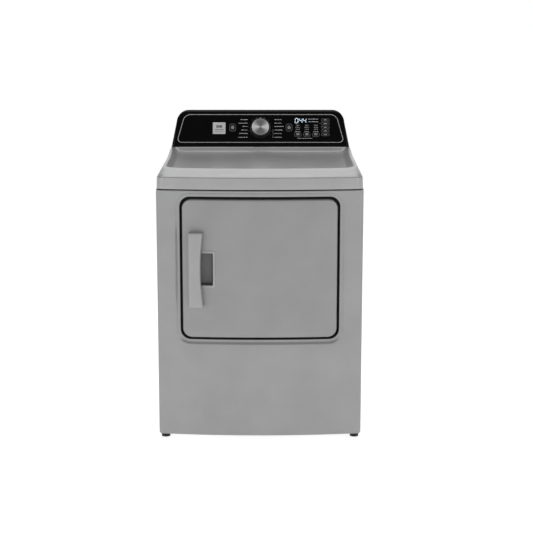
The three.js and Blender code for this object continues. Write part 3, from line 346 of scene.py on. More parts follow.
class Paint(Graph):
    """A surface's node tree, round one Principled shader."""

    def __init__(self, name):
        material = bpy.data.materials.new(name)
        material.use_nodes = True
        super().__init__(material.node_tree)
        self.material = material
        self.shader = next(n for n in self.tree.nodes if n.type == "BSDF_PRINCIPLED")
        self.coords = self.node("ShaderNodeTexCoord").outputs["Object"]

    def noise(self, scale, detail=2.0, stretch=(1, 1, 1), roughness=0.5):
        vector = self.coords
        if tuple(stretch) != (1, 1, 1):
            vector = self.node("ShaderNodeMapping", None, {"Vector": vector, "Scale": stretch}).outputs[0]
        values = {"Vector": vector, "Scale": scale, "Detail": detail, "Roughness": roughness}
        return self.signal(self.node("ShaderNodeTexNoise", None, values), "Fac")

    def cells(self, scale, output="Distance", feature="F1"):
        node = self.node("ShaderNodeTexVoronoi", {"feature": feature}, {"Vector": self.coords, "Scale": scale})
        return node.outputs[output]

    def axes(self, vector=None):
        node = self.node("ShaderNodeSeparateXYZ", None, {0: vector or self.coords})
        return [self.signal(node, i) for i in range(3)]

    def centred(self, place, turn=(0, 0, 0)):
        """Coordinates measured from a place, in metres, and turned with the piece's axis."""
        moved = self.node("ShaderNodeVectorMath", {"operation": "SUBTRACT"}, {0: self.coords, 1: place})
        node = self.node("ShaderNodeMapping", None, {"Vector": moved.outputs[0], "Rotation": turn})
        return node.outputs[0]

    def blend(self, factor, a, b):
        values = {0: factor, 6: a, 7: b}
        return self.node("ShaderNodeMix", {"data_type": "RGBA"}, values).outputs[2]

    def set(self, **values):
        for key, value in values.items():
            socket = self.shader.inputs[key.replace("_", " ")]
            if isinstance(value, Signal):
                value = value.socket
            if isinstance(value, bpy.types.NodeSocket):
                self.tree.links.new(value, socket)
            else:
                socket.default_value = value
        return self

    def bump(self, height, distance, strength=1.0):
        values = {"Height": height, "Distance": distance / 1000, "Strength": strength}
        self.set(Normal=self.node("ShaderNodeBump", None, values).outputs[0])
        return self


def grey(value, warm=0.0):
    return (value * (1 + warm), value, value * (1 - warm), 1.0)


def shade(colour, factor):
    return (colour[0] * factor, colour[1] * factor, colour[2] * factor, 1.0)


# ---- Finishes ---------------------------------------------------------------------------------------
def painted(paint, tint, metallic, rough):
    """Metallic paint baked on sheet steel: soft cloudy flake and a little orange peel."""
    cloud = paint.noise(9.0, 3.0)
    flake = paint.noise(2600.0, 1.0)
    tone = (cloud * 0.7 + flake * 0.3).step(0.3, 0.7)
    paint.set(Base_Color=paint.blend(tone, shade(tint, 0.955), shade(tint, 1.045)))
    paint.set(Metallic=metallic, Roughness=paint.noise(14.0, 2.0) * 0.1 + (rough - 0.05))
    paint.bump(paint.noise(520.0, 2.0), 0.05, 0.25)


def cabinet_paint(paint):
    painted(paint, bpy.context.scene.dryer_colours.cabinet, 0.45, 0.36)
    paint.set(Coat_Weight=0.12, Coat_Roughness=0.25)


def cover_paint(paint):
    # Painted light: the cabinet paint made 14 % lighter on the top cover, for the light that its surfaces
    # catch.
    painted(paint, shade(bpy.context.scene.dryer_colours.cabinet, 1.14), 0.45, 0.34)
    paint.set(Coat_Weight=0.12, Coat_Roughness=0.25)


def door_paint(paint):
    painted(paint, shade(bpy.context.scene.dryer_colours.cabinet, 0.92), 0.45, 0.36)
    paint.set(Coat_Weight=0.12, Coat_Roughness=0.25)


def grey_plastic(paint):
    """Moulded plastic coloured to match the paint, with a fine spark-eroded grain."""
    painted(paint, shade(bpy.context.scene.dryer_colours.cabinet, 1.1), 0.3, 0.34)
    paint.bump(paint.noise(1500.0, 2.0), 0.02, 0.3)


def cup_plastic(paint):
    # Painted shade: the cabinet colour at half brightness, for the shade that falls into the cup's well under
    # the handle.
    painted(paint, shade(bpy.context.scene.dryer_colours.cabinet, 0.5), 0.2, 0.42)
    paint.bump(paint.noise(1500.0, 2.0), 0.02, 0.4)


def console_plastic(paint):
    """Black satin plastic of the console's moulding."""
    grain = paint.noise(900.0, 2.0)
    paint.set(Base_Color=paint.blend(grain, grey(0.008), grey(0.013)), Roughness=grain * 0.1 + 0.3)
    paint.set(Specular_IOR_Level=0.22)
    paint.bump(grain, 0.01, 0.2)


def dark_plastic(paint):
    grain = paint.noise(900.0, 3.0)
    paint.set(Base_Color=paint.blend(grain, grey(0.018), grey(0.032)), Roughness=grain * 0.2 + 0.45)
    paint.bump(grain, 0.04, 0.4)


def black_gloss(paint):
    haze = paint.noise(30.0, 4.0)
    paint.set(Base_Color=paint.blend(haze, grey(0.0012), grey(0.0020)), Specular_IOR_Level=0.11)
    paint.set(Roughness=haze * 0.08 + 0.1)
    paint.bump(paint.noise(60.0, 1.0), 0.02, 0.15)


def key_gloss(paint):
    haze = paint.noise(80.0, 3.0)
    paint.set(Base_Color=paint.blend(haze, grey(0.006), grey(0.010)), Specular_IOR_Level=0.4)
    paint.set(Roughness=haze * 0.1 + 0.2)
    paint.bump(paint.noise(700.0, 1.0), 0.01, 0.2)


def print_white(paint):
    speck = paint.noise(1800.0, 2.0)
    paint.set(Base_Color=paint.blend(speck, grey(0.42), grey(0.58)), Roughness=speck * 0.1 + 0.45)


def print_grey(paint):
    speck = paint.noise(1800.0, 2.0)
    paint.set(Base_Color=paint.blend(speck, grey(0.12), grey(0.18)), Roughness=speck * 0.1 + 0.45)


def display_light(paint):
    glow = paint.noise(900.0, 1.0)
    paint.set(Base_Color=grey(0.05), Roughness=0.4, Emission_Strength=1.5)
    paint.set(Emission_Color=paint.blend(glow, (0.55, 0.74, 0.95, 1), (0.75, 0.9, 1.0, 1)))


def spun_metal(paint):
    """A disc faced on a lathe: fine rings, and two bright fans painted into its colour by the angle round the
    centre, a painted highlight.
    """
    centre = Vector(on_face(0, KNOB_S)) / 1000
    x, _, z = paint.axes(paint.centred(centre, (TILT, 0, 0)))
    radius = (x * x + z * z) ** 0.5
    rings = paint.node("ShaderNodeCombineXYZ", None, {0: radius})
    values = {"Vector": rings.outputs[0], "Scale": 2600.0, "Detail": 3.0}
    grooves = paint.node("ShaderNodeTexNoise", None, values)
    # Painted highlight: the colour is made lighter left and right of the centre and darker above and below, as
    # if lit from the sides.
    angle = z.math("ARCTAN2", x)
    painted_highlight_fans = ((angle * 2.0).math("COSINE") * 0.5 + 0.5) ** 2.4
    tone = (painted_highlight_fans * 0.8 + paint.signal(grooves, "Fac") * 0.2).clamp()
    paint.set(Base_Color=paint.blend(tone, grey(0.13), grey(1.0)), Metallic=0.75)
    paint.set(Roughness=paint.signal(grooves, "Fac") * 0.16 + 0.24)
    paint.bump(grooves.outputs["Fac"], 0.02, 0.5)


def brushed_steel(paint):
    """Bright trim, drawn lengthwise."""
    lines = paint.noise(14.0, 4.0, (4, 160, 160))
    paint.set(Base_Color=paint.blend(lines, grey(0.46), grey(0.64)), Metallic=0.85)
    paint.set(Roughness=lines * 0.15 + 0.28)
    paint.bump(lines, 0.02, 0.4)


def zinc_steel(paint):
    """Galvanised sheet with its spangle."""
    bright = paint.signal(paint.node("ShaderNodeSeparateXYZ", None, {0: paint.cells(70.0, "Color")}), 0)
    grain = paint.noise(400.0, 3.0)
    paint.set(Base_Color=paint.blend(bright, grey(0.40), grey(0.54, -0.01)), Metallic=0.8)
    paint.set(Roughness=bright * 0.12 + grain * 0.1 + 0.34)
    paint.bump(grain, 0.03, 0.3)


def drum_steel(paint):
    """Stainless sheet rolled into a drum, with its rolling lines running round."""
    centre = Vector((0, 0, (DRUM[0].z + DRUM[1].z) / 2)) / 1000
    x, y, z = paint.axes(paint.centred(centre))
    line = paint.node("ShaderNodeCombineXYZ", None, {0: z.math("ARCTAN2", x) * 0.02, 1: y})
    rolled = paint.node("ShaderNodeTexNoise", None, {"Vector": line.outputs[0], "Scale": 900.0, "Detail": 3.0})
    paint.set(Base_Color=paint.blend(rolled.outputs["Fac"], grey(0.50), grey(0.64, 0.01)), Metallic=0.9)
    paint.set(Roughness=paint.signal(rolled, "Fac") * 0.14 + 0.24)
    paint.bump(rolled.outputs["Fac"], 0.03, 0.3)


def white_plastic(paint):
    grain = paint.noise(1100.0, 2.0)
    cloud = paint.noise(12.0, 2.0)
    paint.set(Base_Color=paint.blend(cloud, grey(0.66, 0.01), grey(0.74, 0.01)), Roughness=grain * 0.12 + 0.38)
    paint.bump(grain, 0.02, 0.3)


def rubber(paint):
    grain = paint.noise(700.0, 4.0)
    paint.set(Base_Color=paint.blend(grain, grey(0.011), grey(0.024)), Roughness=grain * 0.2 + 0.6)
    paint.bump(grain, 0.08, 0.5)


def felt(paint):
    fibre = paint.noise(900.0, 5.0, (1, 1, 1), 0.75)
    paint.set(Base_Color=paint.blend(fibre, grey(0.34, 0.04), grey(0.56, 0.05)), Roughness=0.95)
    paint.bump(fibre, 0.3, 0.8)


def cast_metal(paint):
    grain = paint.noise(260.0, 4.0)
    paint.set(Base_Color=paint.blend(grain, grey(0.07), grey(0.13)), Metallic=0.55)
    paint.set(Roughness=grain * 0.2 + 0.45)
    paint.bump(grain, 0.15, 0.5)


def glow_wire(paint):
    scale = paint.noise(500.0, 3.0)
    paint.set(Base_Color=paint.blend(scale, grey(0.10, 0.1), grey(0.22, 0.15)), Metallic=0.8)
    paint.set(Roughness=scale * 0.2 + 0.4)


def board(paint):
    """Solder mask over copper tracks."""
    track = paint.signal(paint.node("ShaderNodeSeparateXYZ", None, {0: paint.cells(180.0, "Color")}), 1)
    paint.set(Base_Color=paint.blend(track.step(0.4, 0.5), (0.01, 0.09, 0.03, 1), (0.02, 0.16, 0.06, 1)))
    paint.set(Roughness=track * 0.1 + 0.35)
    paint.bump(track.step(0.4, 0.5), 0.05, 0.4)


def screen_mesh(paint):
    wire = paint.noise(1200.0, 2.0)
    paint.set(Base_Color=paint.blend(wire, grey(0.3), grey(0.42)), Roughness=wire * 0.1 + 0.5)


def floor_white(paint):
    cloud = paint.noise(1.5, 2.0)
    paint.set(Base_Color=paint.blend(cloud, grey(0.84), grey(0.86)), Roughness=cloud * 0.1 + 0.6)
    paint.set(Emission_Color=grey(1.0), Emission_Strength=0.66)


def badge_silver(paint):
    lines = paint.noise(12.0, 3.0, (3, 120, 120))
    paint.set(Base_Color=paint.blend(lines, grey(0.52), grey(0.66)))
    paint.set(Metallic=0.35, Roughness=lines * 0.1 + 0.34)
    paint.bump(lines, 0.01, 0.3)


def dark_metal(paint):
    lines = paint.noise(300.0, 3.0)
    paint.set(Base_Color=paint.blend(lines, grey(0.02), grey(0.035)), Metallic=0.6, Roughness=lines * 0.1 + 0.3)


PAINTERS = (
    cabinet_paint, cover_paint, door_paint, grey_plastic, cup_plastic, console_plastic,
    dark_plastic, black_gloss, key_gloss, print_white, print_grey, display_light, spun_metal,
    brushed_steel, zinc_steel, drum_steel, white_plastic, rubber, felt, cast_metal, glow_wire,
    board, screen_mesh, floor_white, badge_silver, dark_metal,
)
FINISHES = {painter.__name__: painter for painter in PAINTERS}
made_finishes = {}


def finish(name):
    """The material of that name, made when it is first asked for."""
    if name not in made_finishes:
        paint = Paint(name)
        FINISHES[name](paint)
        made_finishes[name] = paint.material
    return made_finishes[name]


# ---- Repeated pieces --------------------------------------------------------------------------------
class Pattern(Graph):
    """A geometry node tree that sets copies of one small part on the points of a mesh."""

    def __init__(self, name, sizes):
        super().__init__(bpy.data.node_groups.new(name, "GeometryNodeTree"))
        face = self.tree.interface
        face.new_socket("Geometry", in_out="INPUT", socket_type="NodeSocketGeometry")
        for label, size in sizes.items():
            socket = face.new_socket(label, in_out="INPUT", socket_type="NodeSocketFloat")
            socket.default_value = size
        face.new_socket("Geometry", in_out="OUTPUT", socket_type="NodeSocketGeometry")
        self.start = self.node("NodeGroupInput")

    def size(self, label):
        return self.signal(self.start, label)

    def vector(self, x, y, z):
        return self.node("ShaderNodeCombineXYZ", None, {0: x, 1: y, 2: z}).outputs[0]

    def rod(self, radius, depth, low=0.0, sides=16, top=None):
        values = {"Vertices": sides, "Radius Bottom": radius, "Radius Top": top or radius, "Depth": depth}
        cone = self.node("GeometryNodeMeshCone", None, values)
        lift = self.vector(0.0, 0.0, low)
        values = {"Geometry": cone.outputs["Mesh"], "Translation": lift}
        moved = self.node("GeometryNodeTransform", None, values)
        return moved.outputs[0]

    def bar(self, x, y, z):
        return self.node("GeometryNodeMeshCube", None, {"Size": self.vector(x, y, z)}).outputs["Mesh"]

    def joined(self, *parts):
        join = self.node("GeometryNodeJoinGeometry")
        for part in parts:
            self.tree.links.new(part, join.inputs[0])
        return join.outputs[0]

    def attribute(self, name):
        node = self.node("GeometryNodeInputNamedAttribute", {"data_type": "FLOAT_VECTOR"}, {"Name": name})
        return node.outputs["Attribute"]

    def end(self, part, material):
        """Copies the part to every point, then makes one real mesh of them."""
        turn = self.node("FunctionNodeEulerToRotation", None, {0: self.attribute("turn")}).outputs[0]
        values = {"Points": self.start.outputs[0], "Instance": part, "Rotation": turn}
        values["Scale"] = self.attribute("stretch")
        copies = self.node("GeometryNodeInstanceOnPoints", None, values)
        real = self.node("GeometryNodeRealizeInstances", None, {0: copies.outputs[0]})
        values = {"Geometry": real.outputs[0], "Material": finish(material)}
        coloured = self.node("GeometryNodeSetMaterial", None, values)
        self.node("NodeGroupOutput", None, {0: coloured.outputs[0]})
        return self.tree


def scattered(name, tree, places, sizes):
    """Runs a pattern over (point, turn, stretch) places, in millimetres, and keeps the plain mesh."""
    data = bpy.data.meshes.new(name)
    data.from_pydata([Vector(place[0]) / 1000 for place in places], [], [])
    for label, index in (("turn", 1), ("stretch", 2)):
        column = data.attributes.new(label, "FLOAT_VECTOR", "POINT")
        column.data.foreach_set("vector", [c for place in places for c in place[index]])
    piece = bpy.data.objects.new(name, data)
    bpy.context.scene.collection.objects.link(piece)
    pattern = piece.modifiers.new("pattern", "NODES")
    pattern.node_group = tree
    for item in tree.interface.items_tree:
        if item.item_type == "SOCKET" and item.in_out == "INPUT" and item.name in sizes:
            pattern[item.identifier] = sizes[item.name]
    settled(piece)
    for column in [c for c in piece.data.attributes if c.name in ("turn", "stretch")]:
        piece.data.attributes.remove(column)
    return piece


def screw_pattern():
    """A washer-faced hexagon screw, its shank in the sheet."""
    tree = Pattern("screws", {"Head": 0.004, "Height": 0.003, "Shank": 0.002})
    head, height, shank = tree.size("Head"), tree.size("Height"), tree.size("Shank")
    washer = tree.rod(head * 1.45, height * 0.28, 0.0, 20, head * 1.35)
    hexagon = tree.rod(head, height * 0.75, height * 0.25, 6, head * 0.94)
    pin = tree.rod(shank, height, height * -0.95, 10)
    return tree.end(tree.joined(washer, hexagon, pin), "zinc_steel")


def mark_pattern(material):
    """A small printed mark, a hair proud of its surface."""
    tree = Pattern("marks_" + material, {"Width": 0.001, "Height": 0.001, "Thickness": 0.0003})
    bar = tree.bar(tree.size("Width"), tree.size("Thickness"), tree.size("Height"))
    return tree.end(bar, material)


FACE_TURN = (-TILT, 0.0, 0.0)


def word(x0, x1, s, height, rng):
    """Places of a row of marks that stands for a short printed word."""
    places = []
    x = x0
    while x < x1:
        width = min(rng.choice((1.0, 1.3, 1.6, 1.9)), x1 - x)
        if width < 0.5:
            break
        tall = height * rng.choice((0.7, 0.7, 1.0))
        middle = on_face(x + width / 2, s - (height - tall) / 2, FASCIA_OUT)
        places.append((middle, FACE_TURN, (width, 1.0, tall)))
        x += width + rng.choice((0.55, 0.55, 1.5))
    return places


# ---- Cabinet ----------------------------------------------------------------------------------------
def front_panel(sizes):
    """The bowed front: opening, door pocket, dished border and folded edges."""
    shape = Shape()
    loops = []

    def ring(w, h, r, y):
        loops.append([(x, y(x) if callable(y) else y, z) for x, z in outline(0, DOOR_Z, w, h, r)])

    pocket_w, pocket_h = DOOR_W + 2 * POCKET_GAP, DOOR_H + 2 * POCKET_GAP
    for grow, round_by, back in ((0, 0, 3), (0, 0, 1.5), (3, 1.5, 0), (22, 5, 0)):
        ring(OPENING_W + grow, OPENING_H + grow, OPENING_R + round_by, POCKET_FLOOR + back)
    ring(pocket_w - 36, pocket_h - 36, 27, POCKET_FLOOR)
    # The outer band of the pocket's floor, its wall and its lip take black rubber: partly a gasket, partly
    # painted shade of the deep gap round the door.
    gasket_and_shade_start = len(loops)
    ring(pocket_w - 6, pocket_h - 6, 29, POCKET_FLOOR)
    for inset, rise in rounding(3, 3)[::-1]:
        ring(pocket_w - 2 * inset, pocket_h - 2 * inset, 32 - inset, POCKET_FLOOR - 3 + rise)
    lip = sizes.lip * 1000
    gasket_and_shade_end = len(loops) + 5
    for inset, rise in rounding(lip, 4):
        y = lambda x, rise=rise: front_y(x) + STEP + lip - rise
        ring(pocket_w + 2 * inset, pocket_h + 2 * inset, 32 + inset, y)
    for k in range(7):
        t = k / 6
        out = 7.5 + 12.5 * t
        y = lambda x, t=t: front_y(x) + STEP * (1 - smooth(t))
        ring(pocket_w + 2 * out, pocket_h + 2 * out, 32 + out, y)
    height = PANEL[1].z - PANEL[0].z
    middle = PANEL[0].z + height / 2
    border = outline(0, DOOR_Z, pocket_w + 40, pocket_h + 40, 52)
    edge = outline(0, middle, 2 * TANGENT_X, height - 6, 8)
    for k in range(1, 7):
        t = k / 7
        mixed = [(ax + (bx - ax) * t, az + (bz - az) * t) for (ax, az), (bx, bz) in zip(border, edge)]
        loops.append([(x, front_y(x), z) for x, z in mixed])
    lean = (TANGENT_X - CORNER_X) / CORNER
    for k in range(6):
        t = k / 5
        half = CORNER_X + CORNER * (lean + (1 - lean) * sin(t * pi / 2))
        back = 3 * (1 - cos(t * pi / 2))
        tall = height - 6 + 6 * sin(t * pi / 2)
        loop = []
        for (x, z), (ex, ez) in zip(outline(0, middle, 2 * half, tall, 8), edge):
            top = min(1.0, max(0.0, abs(z - middle) - (tall / 2 - 8)) / 8)
            loop.append((x, front_y(x) + back * top, z))
        loops.append(loop)
    last = loops[-1]
    loops.append([(x, max(y, FRONT + 14), z) for x, y, z in last])
    # Black rubber between the two marks: gasket and painted shade in the gap.
    shape.loft(loops, slots=lambda k: 1 if gasket_and_shade_start <= k < gasket_and_shade_end else 0)
    piece = wall(shape.done("front_panel_skin", ["cabinet_paint", "rubber"], (0, -1, 0)), 1.2)
    cuts = (
        block(-245, -231, POCKET_FLOOR - 3, POCKET_FLOOR + 9, 583.5, 607.5),
        block(-244, -232, POCKET_FLOOR - 3, POCKET_FLOOR + 9, 699.5, 711.5),
    )
    fit(carved(piece, *cuts), "cabinet", "grey_paint", "front_panel")


SKIRT_TOP, RIM, DECK = 903.0, 921.6, 906.0


def ledge_level(y):
    """Height of the top cover's rim: level at the front, rising to the console's ledge."""
    return RIM + 15.4 * smooth((y - 40) / 166)


def deck_level(y):
    """Height of the sunken deck, which climbs gently towards the console."""
    return DECK + 15 * min(1.0, max(0.0, (y + 48) / 246))


def cover_outline(half, y0, y1, r, level):
    """One closed plan outline of the cover; level gives a point's height from x, y and its side."""
    rear_r = min(r, 12)
    ys = [-230, -180, -120, -60, 0, 60, 100, 130, 155, 170, 185, 195, 205, 215, 240, 280, 320]
    bottom, top = y0 + r, y1 - rear_r
    fitted = []
    for y in ys:
        if y > 130 and top < 330:
            y = 130 + (y - 130) * (top - 130) / 200
        fitted.append(max(bottom + 1 + 0.01 * (y + 230), min(y, top - 1)))
    points = []
    for k in range(31):
        x = (half - r) * (k / 15 - 1)
        points.append((x, y0 + front_y(x) - FRONT, "front"))
    ends = front_y(half - r) - FRONT
    for k in range(1, 9):
        a = radians(-90 + 90 * k / 9)
        points.append((half - r + r * cos(a), y0 + ends + r + r * sin(a), "side"))
    right = [(half, y, "side") for y in fitted]
    for k in range(7):
        a = radians(90 * k / 6)
        right.append((half - rear_r + rear_r * cos(a), y1 - rear_r + rear_r * sin(a), "rear"))
    points += right
    points += [((half - rear_r) * (1 - k / 8), y1, "rear") for k in range(1, 16)]
    points += [(-x, y, side) for x, y, side in right[::-1]]
    for k in range(1, 9):
        a = radians(180 + 90 * k / 9)
        points.append((-half + r + r * cos(a), y0 + ends + r + r * sin(a), "side"))
    return [(x, y, level(x, y, side)) for x, y, side in points]


def top_cover(sizes):
    """The top: a deep front edge, a slope up to the rim, a sunken deck and the console's ledge."""
    low, high = COVER[0].z, COVER[1].z
    edge = sizes.skirt_edge * 1000
    rows = [(HALF - 2.5, 2.0, low), (HALF - 1.7, 0.8, low + 0.5), (HALF - 1.4, 0.5, low + 2)]
    rows += [(HALF - 2.0, 1.2, 880), (HALF - 2.6, 1.8, SKIRT_TOP - edge)]
    for k in range(1, 7):
        a = radians(13 * k)
        fall = edge * (1 - cos(a))
        rows.append((HALF - 2.6 - 0.7 * fall, 1.8 + fall, SKIRT_TOP - edge + edge * sin(a)))
    rows += [(335.4, 12, 906.4), (333.6, 24, 909.2), (331.6, 38, 912.9), (329.6, 52, 916.4), (327.8, 64, 919.2)]
    rows += [(326.6, 72, 920.7), (325.4, 77, 921.4), (324.0, 81, RIM), (321.0, 85, 921.5)]
    inner = [(318, 87, 921.3, 207), (315.5, 88.5, 920.2, 205.5), (313.5, 90, 918.6, 204.5)]
    inner += [(302, 98.5, 909, 199.5), (300, 100.5, 907.4, 198), (297, 103.5, 906.3, 196.5)]
    inner += [(293, 108, DECK, 193), (180, 200, DECK, 120)]
    loops = []

    def eave(x):
        return SKIRT_TOP + (high - SKIRT_TOP) * smooth((338 - abs(x)) / 13)

    for k, (half, inset, z) in enumerate(rows):

        def level(x, y, side, z=z, k=k):
            if side == "rear" and k > 3:
                return eave(x)
            if z <= SKIRT_TOP:
                return z
            return SKIRT_TOP + (z - SKIRT_TOP) * (ledge_level(y) - SKIRT_TOP) / (RIM - SKIRT_TOP)

        loops.append(cover_outline(half, FRONT + inset, REAR - 0.3 * k, 22 + 0.6 * k, level))
    for half, inset, z, rear in inner:

        def level(x, y, side, z=z):
            return deck_level(y) + (z - DECK) * (ledge_level(y) - deck_level(y)) / (RIM - DECK)

        loops.append(cover_outline(half, FRONT + inset, rear, 62, level))
    shape = Shape().loft(loops, last=True)
    piece = wall(shape.done("top_cover_skin", ["cover_paint"], (0, 0, 1)), 1.4)
    fit(piece, "cabinet", "grey_paint", "top_cover")


def exhaust_pipe():
    """The exhaust pipe, with a rolled bead and a crimped end."""
    low, high = span("exhaust_duct")
    x, z = (low.x + high.x) / 2, (low.z + high.z) / 2
    r = (high.x - low.x) / 2
    y1 = high.y
    profile = [(r - 2, low.y), (r, low.y), (r, y1 - 21), (r, y1 - 20)]
    profile += [(r + 2.2 * sin(pi * k / 6), y1 - 19 + k) for k in range(7)]
    profile += [(r, y1 - 12), (r - 0.6, y1 - 8), (r - 1, y1 - 0.8), (r - 1.4, y1), (r - 2.2, y1 - 0.4)]
    profile += [(r - 2.4, y1 - 8), (r - 1.8, y1 - 13), (r - 0.4, y1 - 16), (r - 1.8, y1 - 19)]
    shape = Shape().turned(profile, (x, z), sides=72, around=True)
    piece = shape.done("exhaust_pipe", ["zinc_steel"])
    fit(piece, "cabinet", "zinc_steel", "exhaust_duct")


def levelling_feet():
    """Rubber-shod feet: a threaded stem, a hexagon and a ribbed pad."""
    for name in ("front_left_foot", "front_right_foot", "rear_left_foot", "rear_right_foot"):
        low, high = span(name)
        centre = ((low.x + high.x) / 2, (low.y + high.y) / 2)
        r = (high.x - low.x) / 2
        pad = [(0, 0.4), (r * 0.55, 0.4), (r * 0.6, 0), (r - 1.2, 0), (r - 0.3, 0.5), (r, 1.6), (r, 4.2)]
        pad += [(r - 0.8, 5)]
        pad += [(r - 0.8, 6), (r, 6.6), (r, 8), (r - 1, 9.4), (r - 3, 10.2), (r * 0.45, 11), (0, 11)]
        shape = Shape().turned(pad, centre, "z", 40)
        shape.slot = 1
        stem = [(0, 10.5), (5, 10.5)]
        stem += [(8.6, 11), (8.6, 15.4), (5, 16)]
        turn_count = int((high.z - 18) / 1.5)
        for k in range(turn_count):
            stem += [(4.1, 16.4 + 1.5 * k), (4.8, 17.1 + 1.5 * k)]
        stem += [(4.0, high.z - 0.6), (3.4, high.z), (0, high.z)]
        shape.turned(stem, centre, "z", 20)
        fit(shape.done(name + "_detail", ["rubber", "zinc_steel"]), name + "_body", "rubber", name)


def cabinet_screws():
    """The screws that hold the rear panel, the terminal cover and the heater box."""
    back = (-pi / 2, 0.0, 0.0)
    places = []
    for x in (-320, 320):
        places += [((x, REAR, z), back, (1, 1, 1)) for z in (60, 215, 370, 525, 680, 830)]
    places += [((x, REAR, 842), back, (1, 1, 1)) for x in (-180, -60, 60, 180)]
    places += [((x, REAR, 36), back, (1, 1, 1)) for x in (-220, 120, 240)]
    low, high = span("terminal_cover")
    places += [((x, high.y, (low.z + high.z) / 2 - 30), back, (1, 1, 1)) for x in (low.x + 12, high.x - 12)]
    tree = screw_pattern()
    sizes = bpy.context.scene.dryer_sizes
    given = {"Head": sizes.screw_head, "Height": sizes.screw_head * 0.75, "Shank": sizes.screw_head * 0.5}
    piece = scattered("rear_screws", tree, places, given)
    fit(piece, "cabinet", "zinc_steel")


# ---- Door -------------------------------------------------------------------------------------------
CUP = span("handle_cup")


def door_skin(sizes):
    """The door's painted outside, rolled round its edge, with a window for the finger cup."""
    shape = Shape()
    edge = sizes.door_edge * 1000
    loops = [[(x, DOOR_BACK, z) for x, z in outline(0, DOOR_Z, DOOR_W, DOOR_H, 30)]]
    for inset, rise in rounding(edge, 5):
        points = outline(0, DOOR_Z, DOOR_W - 2 * inset, DOOR_H - 2 * inset, 30 - inset)
        loops.append([(x, door_y(x) + edge - rise, z) for x, z in points])
    first = outline(0, DOOR_Z, DOOR_W - 2 * edge, DOOR_H - 2 * edge, 30 - edge)
    centre = outline(0, DOOR_Z, 60, 12, 5)
    for k in range(1, 11):
        t = k / 10
        mixed = [(ax + (bx - ax) * t, az + (bz - az) * t) for (ax, az), (bx, bz) in zip(first, centre)]
        loops.append([(x, door_y(x), z) for x, z in mixed])
    shape.loft(loops, last=True)
    piece = wall(shape.done("door_skin", ["door_paint"], (0, -1, 0)), 1.2)
    x, w, h = (CUP[0].x + CUP[1].x) / 2, CUP[1].x - CUP[0].x, CUP[1].z - CUP[0].z
    hole = Shape()
    points = outline(x, DOOR_Z, w - 7, h - 7, 5, 5, 2, 2)
    hole.loft([[(px, y, pz) for px, pz in points] for y in (FRONT - 60, FRONT - 6)], first=True, last=True)
    cuts = [hole.done("cutter", [])]
    for z in (DOOR_Z - 150, DOOR_Z + 150):
        cuts.append(block(245, 300, -345.3, DOOR_BACK + 5, z - 7, z + 7))
    fit(carved(piece, *cuts), "door", "grey_paint", "door_outer_panel")


def door_liner():
    """The door's moulded inside: a flat flange and a plug with drafted walls and a dished middle."""
    low, high = span("door_inner_panel")
    w, h = high.x - low.x, high.z - low.z
    face = low.y + 2
    tip = high.y
    loops = []

    def ring(pw, ph, r, y):
        loops.append([(x, y, z) for x, z in outline(0, DOOR_Z, pw, ph, r)])

    ring(w, h, 28, face - 1.9)
    ring(w, h, 28, face)
    ring(w - 30, h - 30, 24, face)
    ring(412, 352, 72, face)
    for k in range(1, 5):
        a = radians(90 * k / 4)
        ring(412 - 8 * sin(a), 352 - 8 * sin(a), 72 - 4 * sin(a), face + 5 * (1 - cos(a)))
    for k in range(5):
        a = radians(90 * k / 4)
        ring(398 - 14 * (1 - cos(a)), 338 - 14 * (1 - cos(a)), 66 - 7 * (1 - cos(a)), tip - 7 + 7 * sin(a))
    ring(368, 308, 52, tip)
    for k in range(1, 6):
        t = k / 5
        ring(368 - 30 * t, 308 - 30 * t, 52 - 12 * t, tip - 9 * smooth(t))
    ring(240, 180, 20, tip - 10)
    ring(80, 20, 5, tip - 10.5)
    shape = Shape().loft(loops, last=True)
    piece = wall(shape.done("door_liner", ["white_plastic"], (0, 1, 0)), 1.8)
    fit(piece, "door", "white_plastic", "door_inner_panel")


def door_gasket():
    """The rubber lip that meets the front panel round the opening."""
    low, high = span("door_seal")
    w, h = high.x - low.x, high.z - low.z
    middle = (low.y + high.y) / 2
    rise = (high.y - low.y) / 2
    section = [(0, -1), (0.25, -1), (0.3, -0.2), (0.7, -0.2), (0.75, -1), (1, -1), (1.0, -0.3), (0.86, 0.5)]
    section += [(0.66, 0.9), (0.5, 1.0), (0.34, 0.9), (0.14, 0.5), (0.0, -0.3)]
    loops = []
    for t, lift in section:
        inset = 10 * t
        points = outline(0, DOOR_Z, w - 2 * inset, h - 2 * inset, 90 - inset)
        loops.append([(x, middle + rise * lift, z) for x, z in points])
    piece = Shape().loft(loops, around=True).done("door_gasket", ["rubber"])
    fit(piece, "door", "rubber", "door_seal")


HANDLE = span("door_handle")


